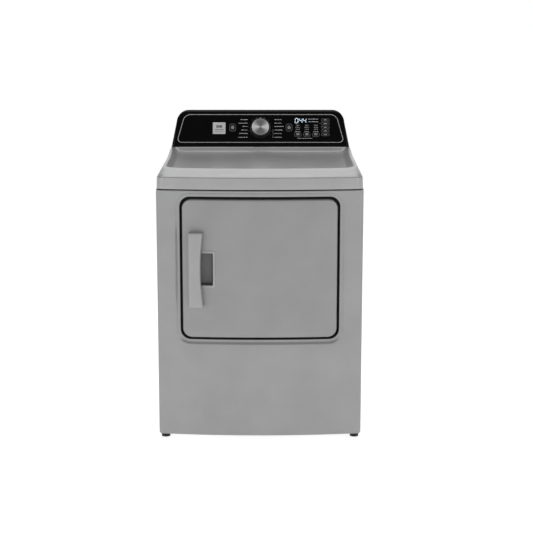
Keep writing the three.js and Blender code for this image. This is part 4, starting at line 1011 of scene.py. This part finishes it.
def door_handle(sizes):
    """A bar that stands on the door along its left side and reaches over the finger cup."""
    x0, x1 = HANDLE[0].x, HANDLE[1].x
    half = (HANDLE[1].z - HANDLE[0].z) / 2
    y0 = HANDLE[0].y
    bevel = sizes.handle_bevel * 1000
    loops = []

    def section(z, shrink):
        t = (z - DOOR_Z) / half
        right = x1 - 9 * (1 - t * t) - shrink
        left = x0 + shrink
        front = y0 + shrink
        reach = smooth((abs(z - DOOR_Z) - 57) / 16)
        under = front + 9 + (door_y(right) + 0.2 - front - 9) * reach
        root = -222.5 + (right - 0.6 + 222.5) * reach
        foot = door_y(x0) + 0.5
        points = [(left, foot), (left, front + 6), (left + 0.5, front + 4), (left + 1.6, front + 2.6)]
        points += [(left + 3, front + 2), (left + 9, front + 0.8), (left + 16, front + 0.15)]
        points += [(right - bevel - 12, front), (right - bevel - 4, front + 0.3), (right - bevel, front + 0.8)]
        points += [(right - bevel * 0.6, front + 1.6), (right - 0.6, front + 1.2 + bevel)]
        points += [(right, front + 2.4 + bevel)]
        points += [(right, under - 1.5 * (1 - reach)), (right - 1.4, under), (root + 3 * (1 - reach), under)]
        points += [(root + 0.9 * (1 - reach), under + 0.9 * (1 - reach)), (root, under + 3 * (1 - reach))]
        points += [(root, max(under + 3 * (1 - reach), door_y(root) + 0.2))]
        return [(x, y, z) for x, y in points]

    ends = ((-half, 3.4), (-half + 0.5, 1.7), (-half + 1.6, 0.6), (-half + 3.4, 0.0))
    middle = [-half + 3.4 + (2 * half - 6.8) * k / 44 for k in range(1, 44)]
    for z, inset in ends:
        loops.append(section(DOOR_Z + z, inset))
    loops += [section(DOOR_Z + z, 0.0) for z in middle]
    for z, inset in ends[::-1]:
        loops.append(section(DOOR_Z - z, inset))
    piece = Shape().loft(loops, first=True, last=True).done("door_handle_bar", ["grey_plastic"], angle=24)
    fit(piece, "door", "grey_plastic", "door_handle")


def finger_cup():
    """The moulded cup behind the handle, with its raised frame."""
    x = (CUP[0].x + CUP[1].x) / 2
    w, h = CUP[1].x - CUP[0].x, CUP[1].z - CUP[0].z
    floor = CUP[1].y - 2
    loops = []

    def ring(grow, r, y):
        points = outline(x, DOOR_Z, w + 2 * grow, h + 2 * grow, r, 6, 6, 8)
        loops.append([(px, y(px) if callable(y) else y, pz) for px, pz in points])

    ring(0, 7, lambda p: door_y(p) - 0.05)
    for inset, rise in rounding(1.4, 3):
        ring(-inset, 7 - inset, lambda p, r=rise: door_y(p) - 1.0 - r)
    ring(-6.6, 3.5, lambda p: door_y(p) - 2.4)
    ring(-7.4, 3.2, lambda p: door_y(p) - 2.0)
    ring(-7.8, 3.0, lambda p: door_y(p) - 1.0)
    ring(-8.2, 3, lambda p: door_y(p) + 1.5)
    ring(-9.4, 4, floor - 5)
    for inset, rise in rounding(4, 4):
        ring(-9.6 - inset, 4.5, floor - 4 + rise)
    ring(-22, 2, floor)
    # The well's walls and floor take the darker plastic, as painted shade under the handle.
    shape = Shape().loft(loops, last=True, slots=lambda k: 0 if k < 7 else 1)
    piece = wall(shape.done("finger_cup", ["grey_plastic", "cup_plastic"], (0, -1, 0), 28), 1.4)
    fit(piece, "door", "grey_plastic", "handle_cup")


# ---- Console ----------------------------------------------------------------------------------------
HOUSING = span("console_housing")
SHELL_PLAN = (325, 19, 44)  # half width, taper each side, corner radius
FACE_PLAN = (317, 11, 42)
FACE_LENGTH = 137.5


def console_points(half, taper, r, z0, z1, corner=12):
    """The console's front outline in x and height: square at the foot, rounded at the top."""
    top = half - taper
    lean = atan2(taper, z1 - z0)
    arc = [lean + (pi / 2 - lean) * k / corner for k in range(corner + 1)]
    cx, cz = top - r + 2.0, z1 - r
    right = [(cx + r * cos(a), cz + r * sin(a)) for a in arc]
    points = [(half * k / 8, z0) for k in range(0, 8)] + [(half, z0)]
    ax, az = right[0]
    points += [(half + (ax - half) * k / 6, z0 + (az - z0) * k / 6) for k in range(1, 6)]
    points += right
    points += [(right[-1][0] * (1 - k / 8), z1) for k in range(1, 9)]
    left = [(-x, z) for x, z in points[1:-1]][::-1]
    return points + left


def shrunk(points, amount):
    """Moves a counter-clockwise outline inwards."""
    out = []
    count = len(points)
    for i, (x, z) in enumerate(points):
        (ax, az), (bx, bz) = points[i - 1], points[(i + 1) % count]
        ua, ub = Vector((x - ax, z - az)), Vector((bx - x, bz - z))
        if ua.length < 1e-6 or ub.length < 1e-6:
            out.append((x, z))
            continue
        na, nb = Vector((-ua.y, ua.x)).normalized(), Vector((-ub.y, ub.x)).normalized()
        n = (na + nb).normalized()
        n = n / max(0.5, n.dot(na))
        out.append((x + n.x * amount, z + n.y * amount))
    return out


def console_housing(sizes):
    """The black moulding behind the face, open towards it."""
    edge = sizes.console_edge * 1000
    outer = console_points(*SHELL_PLAN, HOUSING[0].z, HOUSING[1].z - 0.8)
    back = HOUSING[1].y

    def face(z):
        return FACE_Y + (z - FACE_Z) * sin(TILT) / cos(TILT)

    def sunk(x, y, z):
        """The top falls away behind the face."""
        share = max(0.0, (z - 1000) / 66)
        return (x, y, z - 15 * share * share * smooth((y - 268) / 70))

    loops = []
    inner = shrunk(outer, 14)
    loops.append([(x, face(z) + 2.5, z) for x, z in inner])
    loops.append([(x, face(z), z) for x, z in inner])
    for inset, rise in rounding(edge, 4)[::-1]:
        loops.append([(x, face(z) + edge - rise, z) for x, z in shrunk(outer, inset)])
    for t in (0.15, 0.3, 0.45, 0.6, 0.8):
        loops.append([sunk(x, face(z) + edge + (back - 2 * edge - face(z)) * t, z) for x, z in outer])
    for inset, rise in rounding(edge, 4):
        loops.append([sunk(x, back - edge + rise, z) for x, z in shrunk(outer, inset)])
    loops.append([sunk(x, back, z) for x, z in shrunk(outer, 30)])
    shape = Shape().loft(loops, last=True)
    piece = wall(shape.done("console_shell", ["console_plastic"], (0, 1, 0), 28), 2.4)
    fit(piece, "cabinet", "dark_plastic", "console_housing")


# Each key: across, up the slope, width, height, corner radius.
KEYS = {
    "power_key": (-102, 73, 25, 31, 9),
    "start_pause_key": (105, 73, 25, 31, 9),
    "dryness_key": (137, 46, 27, 19, 8),
    "heat_key": (170, 46, 27, 19, 8),
    "time_key": (203, 46, 27, 19, 8),
    "signal_key": (238, 102.5, 32, 11.6, 5.6),
    "light_key": (238, 88.3, 32, 11.6, 5.6),
    "refresh_key": (238, 74.1, 32, 11.6, 5.6),
    "delay_key": (238, 59.9, 32, 11.6, 5.6),
    "lock_key": (238, 45.7, 32, 11.6, 5.6),
}


def key_outline(key, grow=0.0):
    x, s, w, h, r = KEYS[key]
    return outline(x, s, w + 2 * grow, h + 2 * grow, max(0.6, min(r + grow, h / 2 + grow - 0.1)), 6, 3, 3)


def console_fascia(sizes):
    """The gloss black face, rolled at its edge and pierced for the keys and the knob."""
    outer = console_points(*FACE_PLAN, 0.0, FACE_LENGTH)
    edge = sizes.fascia_edge * 1000
    loops = [[on_face(x, s, 0.45) for x, s in shrunk(outer, inset)] for inset in (6, 0.3)]
    for inset, rise in rounding(edge, 5):
        loops.append([on_face(x, s, FASCIA_OUT - edge + rise) for x, s in shrunk(outer, inset)])
    piece = Shape().loft(loops, first=True, last=True).done("console_face", ["black_gloss"])
    cuts = []
    for key in KEYS:
        hole = Shape()
        ends = [[on_face(x, s, out) for x, s in key_outline(key, 0.4)] for out in (-3, 8)]
        hole.loft(ends, first=True, last=True)
        cuts.append(hole.done("cutter", []))
    bore = Shape().turned([(0, -3), (5, -3), (5, 8), (0, 8)], (0, KNOB_S), "face", 32)
    cuts.append(bore.done("cutter", []))
    fit(carved(piece, *cuts), "cabinet", "black_gloss", "console_fascia")


def trim_points(shrink):
    x0, x1, z0, z1 = 304 - shrink, 284 - shrink, 14.5 + shrink, 125 - shrink
    low, high = 15 - shrink, 30 - shrink
    lean = atan2(x0 - x1, z1 - z0)
    right = [-pi / 2 + (lean + pi / 2) * k / 8 for k in range(9)]
    points = [(x0 - low - 1 + low * cos(a), z0 + low + low * sin(a)) for a in right]
    upper = [lean + (pi / 2 - lean) * k / 10 for k in range(11)]
    points += [(x1 - high + 2 + high * cos(a), z1 - high + high * sin(a)) for a in upper]
    return points + [(-x, z) for x, z in points[::-1]]


def console_trim(sizes):
    """The bright line that frames the controls."""
    width = sizes.trim_width * 1000
    loops = []
    for inset, rise in ((0, -0.3), (0, 0.5), (0.3, 0.8), (width - 0.3, 0.8), (width, 0.5), (width, -0.3)):
        loops.append([on_face(x, s, FASCIA_OUT + rise) for x, s in trim_points(inset)])
    piece = Shape().loft(loops, around=True).done("console_trim_line", ["brushed_steel"])
    fit(piece, "cabinet", "trim_steel", "console_trim")


def badge():
    """A blank bright plate with a stepped border and two plain bars."""
    low, high = span("badge_plate")
    x = (low.x + high.x) / 2
    w = high.x - low.x
    loops = []
    steps = ((0, -0.3), (0, 1.0), (0.4, 1.5), (2.6, 1.6), (3.0, 1.2), (3.2, 1.2))
    for inset, rise in steps:
        points = outline(x, 70.5, w - 2.5 - 2 * inset, w - 4 - 2 * inset, 2.2, 4, 4, 4)
        loops.append([on_face(px, s, FASCIA_OUT + rise) for px, s in points])
    shape = Shape().loft(loops, first=True, last=True)
    shape.slot = 1
    for s, width, tall in ((77, 22, 10), (64.5, 32, 3.0), (57.5, 32, 1.2)):
        bars = []
        for inset, rise in ((0, 1.15), (0, 1.4), (0.25, 1.55)):
            points = outline(x, s, width - 2 * inset, tall - 2 * inset, 0.6, 3, 2, 2)
            bars.append([on_face(px, q, FASCIA_OUT + rise) for px, q in points])
        shape.loft(bars, first=True, last=True)
    fit(shape.done("blank_badge", ["badge_silver", "print_grey"]), "cabinet", "trim_steel", "badge_plate")


def knob():
    """The turned knob: a dark skirt and collar round a spun disc, with a pointer mark."""
    s = KNOB_S
    centre = (0.0, s)
    foot = FASCIA_OUT + 0.4
    top = foot + 18
    r = 36.0
    disc = 31.4
    shape = Shape()
    shape.slot = 1
    side = [(0, foot), (37.4, foot), (38, foot + 0.6), (38, foot + 2.4), (37.2, foot + 3.2), (36.4, foot + 4)]
    side += [(r, foot + 6), (r, top - 3.4), (r - 0.4, top - 2.2), (r - 1.4, top - 1.5), (disc + 0.3, top - 1.3)]
    shape.turned(side + [(disc, top - 1.6), (disc, top - 3), (0, top - 3)], centre, "face", 96)
    shape.slot = 0
    body = [(0, top - 2.9), (disc - 0.1, top - 2.9), (disc - 0.1, top - 1.2), (disc - 0.5, top - 0.4)]
    body += [(disc - 1.4, top), (disc - 2.4, top), (disc - 3.0, top - 0.4), (disc - 3.6, top - 0.5)]
    body += [(22, top - 0.7), (12, top - 0.9), (0, top - 1.0)]
    shape.turned(body, centre, "face", 96)
    shape.slot = 2
    line = []
    for inset, rise in ((0, -1.5), (0, -1.0), (0.2, -0.9)):
        points = outline(0, s + 33.6, 1.8 - 2 * inset, 2.4 - 2 * inset, 0.5, 3, 2, 2)
        line.append([on_face(px, q, top + rise) for px, q in points])
    shape.loft(line, first=True, last=True)
    piece = shape.done("knob_detail", ["spun_metal", "dark_metal", "print_white"], angle=30)
    fit(piece, "knob_body", "trim_steel", "control_knob")


def push_keys(sizes):
    """Ten domed keys with a printed outline and a plain printed mark."""
    crown = sizes.key_crown * 1000
    low = -6.5  # foot of a key's body, behind the face
    for key, (x, s, w, h, _) in KEYS.items():
        shape = Shape()
        top = FASCIA_OUT + 0.8
        loops = [[on_face(px, q, low) for px, q in key_outline(key, 0.0)]]
        for inset, rise in rounding(0.7, 3):
            loops.append([on_face(px, q, top - 0.7 + rise) for px, q in key_outline(key, -inset)])
        loops.append([on_face(px, q, top + crown * 0.5) for px, q in key_outline(key, -min(w, h) * 0.22)])
        loops.append([on_face(px, q, top + crown) for px, q in key_outline(key, -min(w, h) * 0.4)])
        shape.loft(loops, first=True, last=True)
        shape.turned([(0, low - 2), (3, low - 2), (3, low), (0, low)], (x, s), "face", 12)
        shape.slot = 1
        ring = []
        for grow, rise in ((-0.75, 0.0), (-0.75, 0.09), (-1.35, 0.12), (-1.35, 0.02)):
            ring.append([on_face(px, q, top + rise + 0.02) for px, q in key_outline(key, grow)])
        shape.loft(ring, around=True)
        shape.slot = 2
        marks = [(0, 0, 11, 1.5)] if h < 15 else [(0, 3.2, 10, 1.6), (0, -1.2, 12, 1.6)]
        if w < 26:
            marks = [(0, 5, 8, 1.6), (0, 0.5, 12, 1.6), (0, -4.5, 10, 1.4)]
        for dx, ds, mw, mh in marks:
            bar = []
            for inset, rise in ((0, -0.1), (0, 0.12), (0.2, 0.16)):
                points = outline(x + dx, s + ds, mw - 2 * inset, mh - 2 * inset, 0.4, 2, 2, 2)
                bar.append([on_face(px, q, top + crown + rise) for px, q in points])
            shape.loft(bar, first=True, last=True)
        piece = shape.done(key + "_cap", ["key_gloss", "print_grey", "print_white"])
        fit(piece, key + "_body", "black_gloss", key)


SEGMENTS = {"0": "abcdef", "4": "bcfg", ":": "pq"}


def display():
    """The lit time on the console, in seven-bar figures."""
    shape = Shape()
    height, width, thick = 17.5, 10.0, 1.7
    places = (("0", 127.0), (":", 138.6), ("4", 142.6), ("4", 156.6))
    low = 91.5
    for figure, x in places:
        slots = {
            "a": (x + width / 2, low + height, width - 2, thick),
            "d": (x + width / 2, low, width - 2, thick),
            "g": (x + width / 2, low + height / 2, width - 2, thick),
            "b": (x + width, low + height * 0.75, thick, height / 2 - 2),
            "c": (x + width, low + height * 0.25, thick, height / 2 - 2),
            "e": (x, low + height * 0.25, thick, height / 2 - 2),
            "f": (x, low + height * 0.75, thick, height / 2 - 2),
            "p": (x, low + height * 0.7, 2.2, 2.2),
            "q": (x, low + height * 0.3, 2.2, 2.2),
        }
        for bar in SEGMENTS[figure]:
            cx, s, w, h = slots[bar]
            loops = []
            for inset, rise in ((0, -0.25), (0, 0.1), (0.2, 0.18)):
                points = outline(cx + (s - low) * 0.06, s, w - 2 * inset, h - 2 * inset, 0.8, 3, 2, 2)
                loops.append([on_face(px, q, FASCIA_OUT + rise) for px, q in points])
            shape.loft(loops, first=True, last=True)
    fit(shape.done("display_figures", ["display_light"]), "cabinet", "black_gloss")


def console_print():
    """Printed marks beside the knob, over the option keys and round the display."""
    rng = random.Random(11)
    places = []
    rows = (104.4, 90.7, 77.9, 63.9, 50.7, 35.9)
    lefts = (-72.7, -80.3, -65.9, -69.2, -77.9, -82.6)
    rights = (78.1, 77.0, 84.7, 81.3, 77.6, 78.3)
    for s, left, right in zip(rows, lefts, rights):
        places += word(left, -46.8, s, 3.0, rng)
        places += word(51.3, right, s, 3.0, rng)
    for x in (137, 170, 203):
        for s, half in ((82.6, 6), (74.8, 8), (67, 7), (58.4, 9)):
            places += word(x - half, x + half, s, 2.2, rng)
    for s in (106.5, 96.5):
        places += word(176, 212, s, 3.2, rng)
    places += word(134, 190, 31.6, 2.2, rng)
    bracket_and_dot = ((46.1, 49.5, 0.5, 31), (44.9, 65, 2.6, 0.5), (44.9, 34, 2.6, 0.5), (218.5, 90, 1.6, 1.6))
    for x, s, w, h in bracket_and_dot:
        places.append((on_face(x, s), FACE_TURN, (w, 1, h)))
    tree = mark_pattern("print_white")
    fit(scattered("console_print", tree, places, {"Thickness": 0.0003}), "cabinet", "black_gloss")
    ring = Shape()
    for k in range(13):
        a = radians(-125 + 250 * k / 12)
        x, s = 43.5 * sin(a), KNOB_S + 43.5 * cos(a)
        loops = []
        for inset, rise in ((0, -0.2), (0, 0.08), (0.2, 0.14)):
            points = outline(x, s, 1.7 - 2 * inset, 1.7 - 2 * inset, 0.5, 3, 2, 2)
            loops.append([on_face(px, q, FASCIA_OUT + rise) for px, q in points])
        ring.loft(loops, first=True, last=True)
    fit(ring.done("knob_dots", ["print_grey"]), "cabinet", "black_gloss")


# ---- Drum and drive ---------------------------------------------------------------------------------
def drum_shell(sizes):
    """The drum: rolled beads, and an edge turned over at each end."""
    r = (DRUM[1].x - DRUM[0].x) / 2
    y0, y1 = DRUM[0].y, DRUM[1].y
    z = (DRUM[0].z + DRUM[1].z) / 2
    bead = sizes.drum_bead * 1000
    outside = [(r - 0.6, y0), (r - 0.1, y0 + 0.7), (r, y0 + 2)]
    for middle in (y0 + 60, y0 + 190, y0 + 395, y1 - 60):
        for k in range(-6, 7):
            outside.append((r - bead * (0.5 + 0.5 * cos(pi * k / 6)), middle + k * 1.6))
    outside += [(r, y1 - 2), (r - 0.1, y1 - 0.7), (r - 0.6, y1)]
    outside.sort(key=lambda p: p[1])
    inside = [(radius - 1.3, y) for radius, y in outside][::-1]
    shape = Shape().turned(outside + inside, (0, z), sides=128, around=True)
    fit(shape.done("drum_shell", ["drum_steel"]), "drum_body", "drum_steel", "drum")


def drum_rollers():
    """Rubber-tyred rollers that carry the drum."""
    for side in ("left", "right"):
        low, high = span(side + "_drum_roller")
        centre = ((low.x + high.x) / 2, (low.z + high.z) / 2)
        r = (high.x - low.x) / 2
        y0, y1 = low.y, high.y
        w = y1 - y0
        near = [(9.4, 0), (14, 0), (14.6, 0.6), (14.6, 5), (r - 7, 6), (r - 6, 3), (r - 5.4, 2.6)]
        hub = [(radius, y0 + rise) for radius, rise in near]
        hub += [(radius, y1 - rise) for radius, rise in near[::-1]]
        shape = Shape()
        shape.slot = 1
        shape.turned(hub, centre, sides=40, around=True)
        shape.slot = 0
        tyre = [(r - 5.2, y0 + 2), (r - 4.4, y0 + 0.3), (r - 1.6, y0), (r - 0.3, y0 + 1.2), (r, y0 + 3)]
        tyre += [(r, y0 + w * 0.36), (r - 0.8, y0 + w * 0.4), (r, y0 + w * 0.44), (r, y0 + w * 0.56)]
        tyre += [(r - 0.8, y0 + w * 0.6), (r, y0 + w * 0.64)]
        tyre += [(r, y1 - 3), (r - 0.3, y1 - 1.2), (r - 1.6, y1), (r - 4.4, y1 - 0.3), (r - 5.2, y1 - 2)]
        shape.turned(tyre, centre, sides=64, around=True)
        piece = shape.done(side + "_roller_detail", ["rubber", "dark_plastic"])
        fit(piece, side + "_roller_body", "rubber", side + "_drum_roller")


def lint_screen():
    """The lint filter's woven screen: fine wires across both windows."""
    low, high = span("lint_filter")
    across = (low.x + high.x) / 2
    y = (low.y + high.y) / 2
    tree = mark_pattern("screen_mesh")
    places = []
    z0, z1 = low.z + 12, high.z - 22
    for x0, x1 in ((across - 119, across - 5), (across + 5, across + 119)):
        for k in range(24):
            x = x0 + (x1 - x0) * (k + 0.5) / 24
            places.append(((x, y - 1.1, (z0 + z1) / 2), (0, 0, 0), (0.6, 0.6, z1 - z0)))
        for k in range(32):
            z = z0 + (z1 - z0) * (k + 0.5) / 32
            places.append((((x0 + x1) / 2, y - 1.1, z), (0, 0, 0), (x1 - x0, 0.6, 0.6)))
    sizes = {"Width": 0.001, "Height": 0.001, "Thickness": 0.0008}
    fit(scattered("lint_screen", tree, places, sizes), "lint_filter_body", "white_plastic")


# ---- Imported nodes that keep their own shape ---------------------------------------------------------
KEPT = {
    "cabinet_paint": ("left_side_panel", "right_side_panel"),
    "zinc_steel": (
        "base_pan",
        "rear_panel",
        "terminal_cover",
        "door_strike",
        "door_hinge_plate",
        "hinge_frame",
        "front_bulkhead",
        "rear_bulkhead",
        "heater_box",
        "idler_arm",
    ),
    "white_plastic": (
        "door_switch_button",
        "baffle_1",
        "baffle_2",
        "baffle_3",
        "blower_housing",
        "lint_duct",
        "lint_filter",
    ),
    "dark_plastic": ("door_catch", "blower_wheel", "idler_pulley"),
    "rubber": ("drive_belt",),
    "felt": ("front_drum_seal", "rear_drum_seal"),
    "cast_metal": ("motor",),
    "glow_wire": ("heating_element",),
    "brushed_steel": ("motor_shaft", "idler_spring"),
    "board": ("control_board",),
}


def dress_kept_nodes(sizes):
    """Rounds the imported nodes' edges a little and gives them their finishes."""
    for material, names in KEPT.items():
        for name in names:
            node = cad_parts[name]
            node.data.materials.clear()
            node.data.materials.append(finish(material))
            node.data.polygons.foreach_set("use_smooth", [True] * len(node.data.polygons))
            weld = node.modifiers.new("weld", "WELD")
            weld.merge_threshold = 0.00001
            bevel = node.modifiers.new("bevel", "BEVEL")
            bevel.width = sizes.sheet_edge
            bevel.segments = 2
            bevel.limit_method = "ANGLE"
            bevel.angle_limit = radians(35)
            bevel.harden_normals = True


# ---- Stage ------------------------------------------------------------------------------------------
def stage(colours):
    """A pale floor, an even sky, four soft lights and the camera."""
    rings = [(radius, 0.0) for radius in (0, 600, 1200, 2500, 5000, 12000, 40000)]
    floor = Shape().turned(rings, (0, 0), "z", 48).done("floor", ["floor_white"], (0, 0, 1))
    world = bpy.data.worlds.new("studio")
    world.use_nodes = True
    bpy.context.scene.world = world
    graph = Graph(world.node_tree)
    background = next(n for n in world.node_tree.nodes if n.type == "BACKGROUND")
    coords = graph.node("ShaderNodeTexCoord").outputs["Generated"]
    height = graph.signal(graph.node("ShaderNodeSeparateXYZ", None, {0: coords}), 2)
    fade = height.step(0.12, 0.75)
    values = {0: fade.socket, 6: grey(1.0), 7: grey(colours.zenith)}
    mixed = graph.node("ShaderNodeMix", {"data_type": "RGBA"}, values)
    world.node_tree.links.new(mixed.outputs[2], background.inputs["Color"])
    background.inputs["Strength"].default_value = 1.0
    for name, place, size, power in (
        ("left_softbox", (-2.6, -3.2, 2.0), 1.8, 14),
        ("right_softbox", (2.6, -3.2, 2.0), 1.8, 14),
        ("top_softbox", (0.0, 0.4, 3.0), 2.2, 22),
        ("rear_softbox", (0.0, 3.0, 3.4), 2.4, 17),
    ):
        light = bpy.data.lights.new(name, "AREA")
        light.shape = "SQUARE"
        light.size = size
        light.energy = power
        lamp = bpy.data.objects.new(name, light)
        lamp.location = place
        lamp.rotation_euler = (Vector((0, 0, 0.6)) - Vector(place)).to_track_quat("-Z", "Y").to_euler()
        bpy.context.scene.collection.objects.link(lamp)
    lens = bpy.data.cameras.new("camera")
    lens.lens = 95.27
    lens.sensor_width = 36
    lens.clip_end = 200
    camera = bpy.data.objects.new("camera", lens)
    camera.location = (0.0222, -4.933, 1.5367)
    camera.rotation_euler = (radians(90 - 11.5), 0, 0)
    bpy.context.scene.collection.objects.link(camera)
    bpy.context.scene.camera = camera
    bpy.context.scene.view_settings.view_transform = "Standard"


# ---- The add-on -------------------------------------------------------------------------------------
def length(name, description, default):
    """A length of a detail, in metres."""
    limits = {"min": 0.0001, "precision": 4, "unit": "LENGTH"}
    return FloatProperty(name=name, description=description, default=default, **limits)


class DryerSizes(bpy.types.PropertyGroup):
    """Small sizes of the dryer's details."""

    lip: length("Pocket lip", "Radius of the fold round the door's pocket", 0.0025)
    skirt_edge: length("Top edge", "Radius of the top cover's front and side edge", 0.006)
    door_edge: length("Door edge", "Radius round the door's face", 0.0055)
    handle_bevel: length("Handle bevel", "Width of the bevel along the handle's right edge", 0.0045)
    console_edge: length("Console edge", "Radius of the console moulding's edges", 0.004)
    fascia_edge: length("Face edge", "Radius round the black face", 0.0025)
    trim_width: length("Trim width", "Width of the bright line round the controls", 0.0024)
    key_crown: length("Key crown", "Height of a key's dome", 0.0005)
    drum_bead: length("Drum bead", "Depth of the beads rolled in the drum", 0.004)
    screw_head: length("Screw head", "Radius of a screw's hexagon", 0.004)
    sheet_edge: length("Sheet edge", "Rounding of the cut edges of sheet parts", 0.0004)


class DryerColours(bpy.types.PropertyGroup):
    """Colours of the dryer and its stage."""

    cabinet: FloatVectorProperty(
        name="Cabinet",
        description="Colour of the metallic paint",
        subtype="COLOR",
        size=4,
        min=0.0,
        max=1.0,
        default=(0.30, 0.30, 0.303, 1.0),
    )
    zenith: FloatProperty(
        name="Zenith",
        description="Brightness of the sky overhead",
        subtype="FACTOR",
        default=0.22,
        min=0.0,
        max=2.0,
    )


class DRYER_OT_stage(bpy.types.Operator):
    """Sets the floor, the light and the camera"""

    bl_idname = "dryer.stage"
    bl_label = "Stage"

    def execute(self, context):
        stage(context.scene.dryer_colours)
        return {"FINISHED"}


class DRYER_OT_cabinet(bpy.types.Operator):
    """Builds the bowed front panel and the top cover"""

    bl_idname = "dryer.cabinet"
    bl_label = "Cabinet panels"

    def execute(self, context):
        sizes = context.scene.dryer_sizes
        front_panel(sizes)
        top_cover(sizes)
        return {"FINISHED"}


class DRYER_OT_back(bpy.types.Operator):
    """Builds the exhaust pipe and the screws at the back"""

    bl_idname = "dryer.back"
    bl_label = "Exhaust and screws"

    def execute(self, context):
        exhaust_pipe()
        cabinet_screws()
        return {"FINISHED"}


class DRYER_OT_feet(bpy.types.Operator):
    """Builds the four levelling feet"""

    bl_idname = "dryer.feet"
    bl_label = "Feet"

    def execute(self, context):
        levelling_feet()
        return {"FINISHED"}


class DRYER_OT_door(bpy.types.Operator):
    """Builds the door's skin, liner and gasket"""

    bl_idname = "dryer.door"
    bl_label = "Door"

    def execute(self, context):
        sizes = context.scene.dryer_sizes
        door_skin(sizes)
        door_liner()
        door_gasket()
        return {"FINISHED"}


class DRYER_OT_handle(bpy.types.Operator):
    """Builds the handle and its finger cup"""

    bl_idname = "dryer.handle"
    bl_label = "Handle"

    def execute(self, context):
        sizes = context.scene.dryer_sizes
        door_handle(sizes)
        finger_cup()
        return {"FINISHED"}


class DRYER_OT_console(bpy.types.Operator):
    """Builds the console's moulding, black face, trim and badge"""

    bl_idname = "dryer.console"
    bl_label = "Console"

    def execute(self, context):
        sizes = context.scene.dryer_sizes
        console_housing(sizes)
        console_fascia(sizes)
        console_trim(sizes)
        badge()
        return {"FINISHED"}


class DRYER_OT_controls(bpy.types.Operator):
    """Builds the knob, the keys, the display and the printed marks"""

    bl_idname = "dryer.controls"
    bl_label = "Controls"

    def execute(self, context):
        sizes = context.scene.dryer_sizes
        knob()
        push_keys(sizes)
        display()
        console_print()
        return {"FINISHED"}


class DRYER_OT_drum(bpy.types.Operator):
    """Builds the drum, its rollers and the lint screen"""

    bl_idname = "dryer.drum"
    bl_label = "Drum and rollers"

    def execute(self, context):
        sizes = context.scene.dryer_sizes
        drum_shell(sizes)
        drum_rollers()
        lint_screen()
        return {"FINISHED"}


class DRYER_OT_kept(bpy.types.Operator):
    """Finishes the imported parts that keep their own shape"""

    bl_idname = "dryer.kept"
    bl_label = "Inner parts"

    def execute(self, context):
        sizes = context.scene.dryer_sizes
        dress_kept_nodes(sizes)
        return {"FINISHED"}


OPERATORS = (
    DRYER_OT_stage,
    DRYER_OT_cabinet,
    DRYER_OT_back,
    DRYER_OT_feet,
    DRYER_OT_door,
    DRYER_OT_handle,
    DRYER_OT_console,
    DRYER_OT_controls,
    DRYER_OT_drum,
    DRYER_OT_kept,
)


class DRYER_PT_panel(bpy.types.Panel):
    """Lists the dryer's sizes, colours and pieces"""

    bl_idname = "DRYER_PT_panel"
    bl_label = "Dryer"
    bl_space_type = "VIEW_3D"
    bl_region_type = "UI"
    bl_category = "Dryer"

    def draw(self, context):
        for group in (context.scene.dryer_sizes, context.scene.dryer_colours):
            column = self.layout.column()
            for name in group.__annotations__:
                column.prop(group, name)
        for operator in OPERATORS:
            self.layout.operator(operator.bl_idname)


CLASSES = (DryerSizes, DryerColours, *OPERATORS, DRYER_PT_panel)


def register():
    for made in CLASSES:
        bpy.utils.register_class(made)
    bpy.types.Scene.dryer_sizes = PointerProperty(type=DryerSizes)
    bpy.types.Scene.dryer_colours = PointerProperty(type=DryerColours)


def unregister():
    del bpy.types.Scene.dryer_sizes
    del bpy.types.Scene.dryer_colours
    for made in reversed(CLASSES):
        bpy.utils.unregister_class(made)


def main():
    register()
    for operator in OPERATORS:
        group, name = operator.bl_idname.split(".")
        getattr(getattr(bpy.ops, group), name)()


if __name__ == "__main__":
    main()
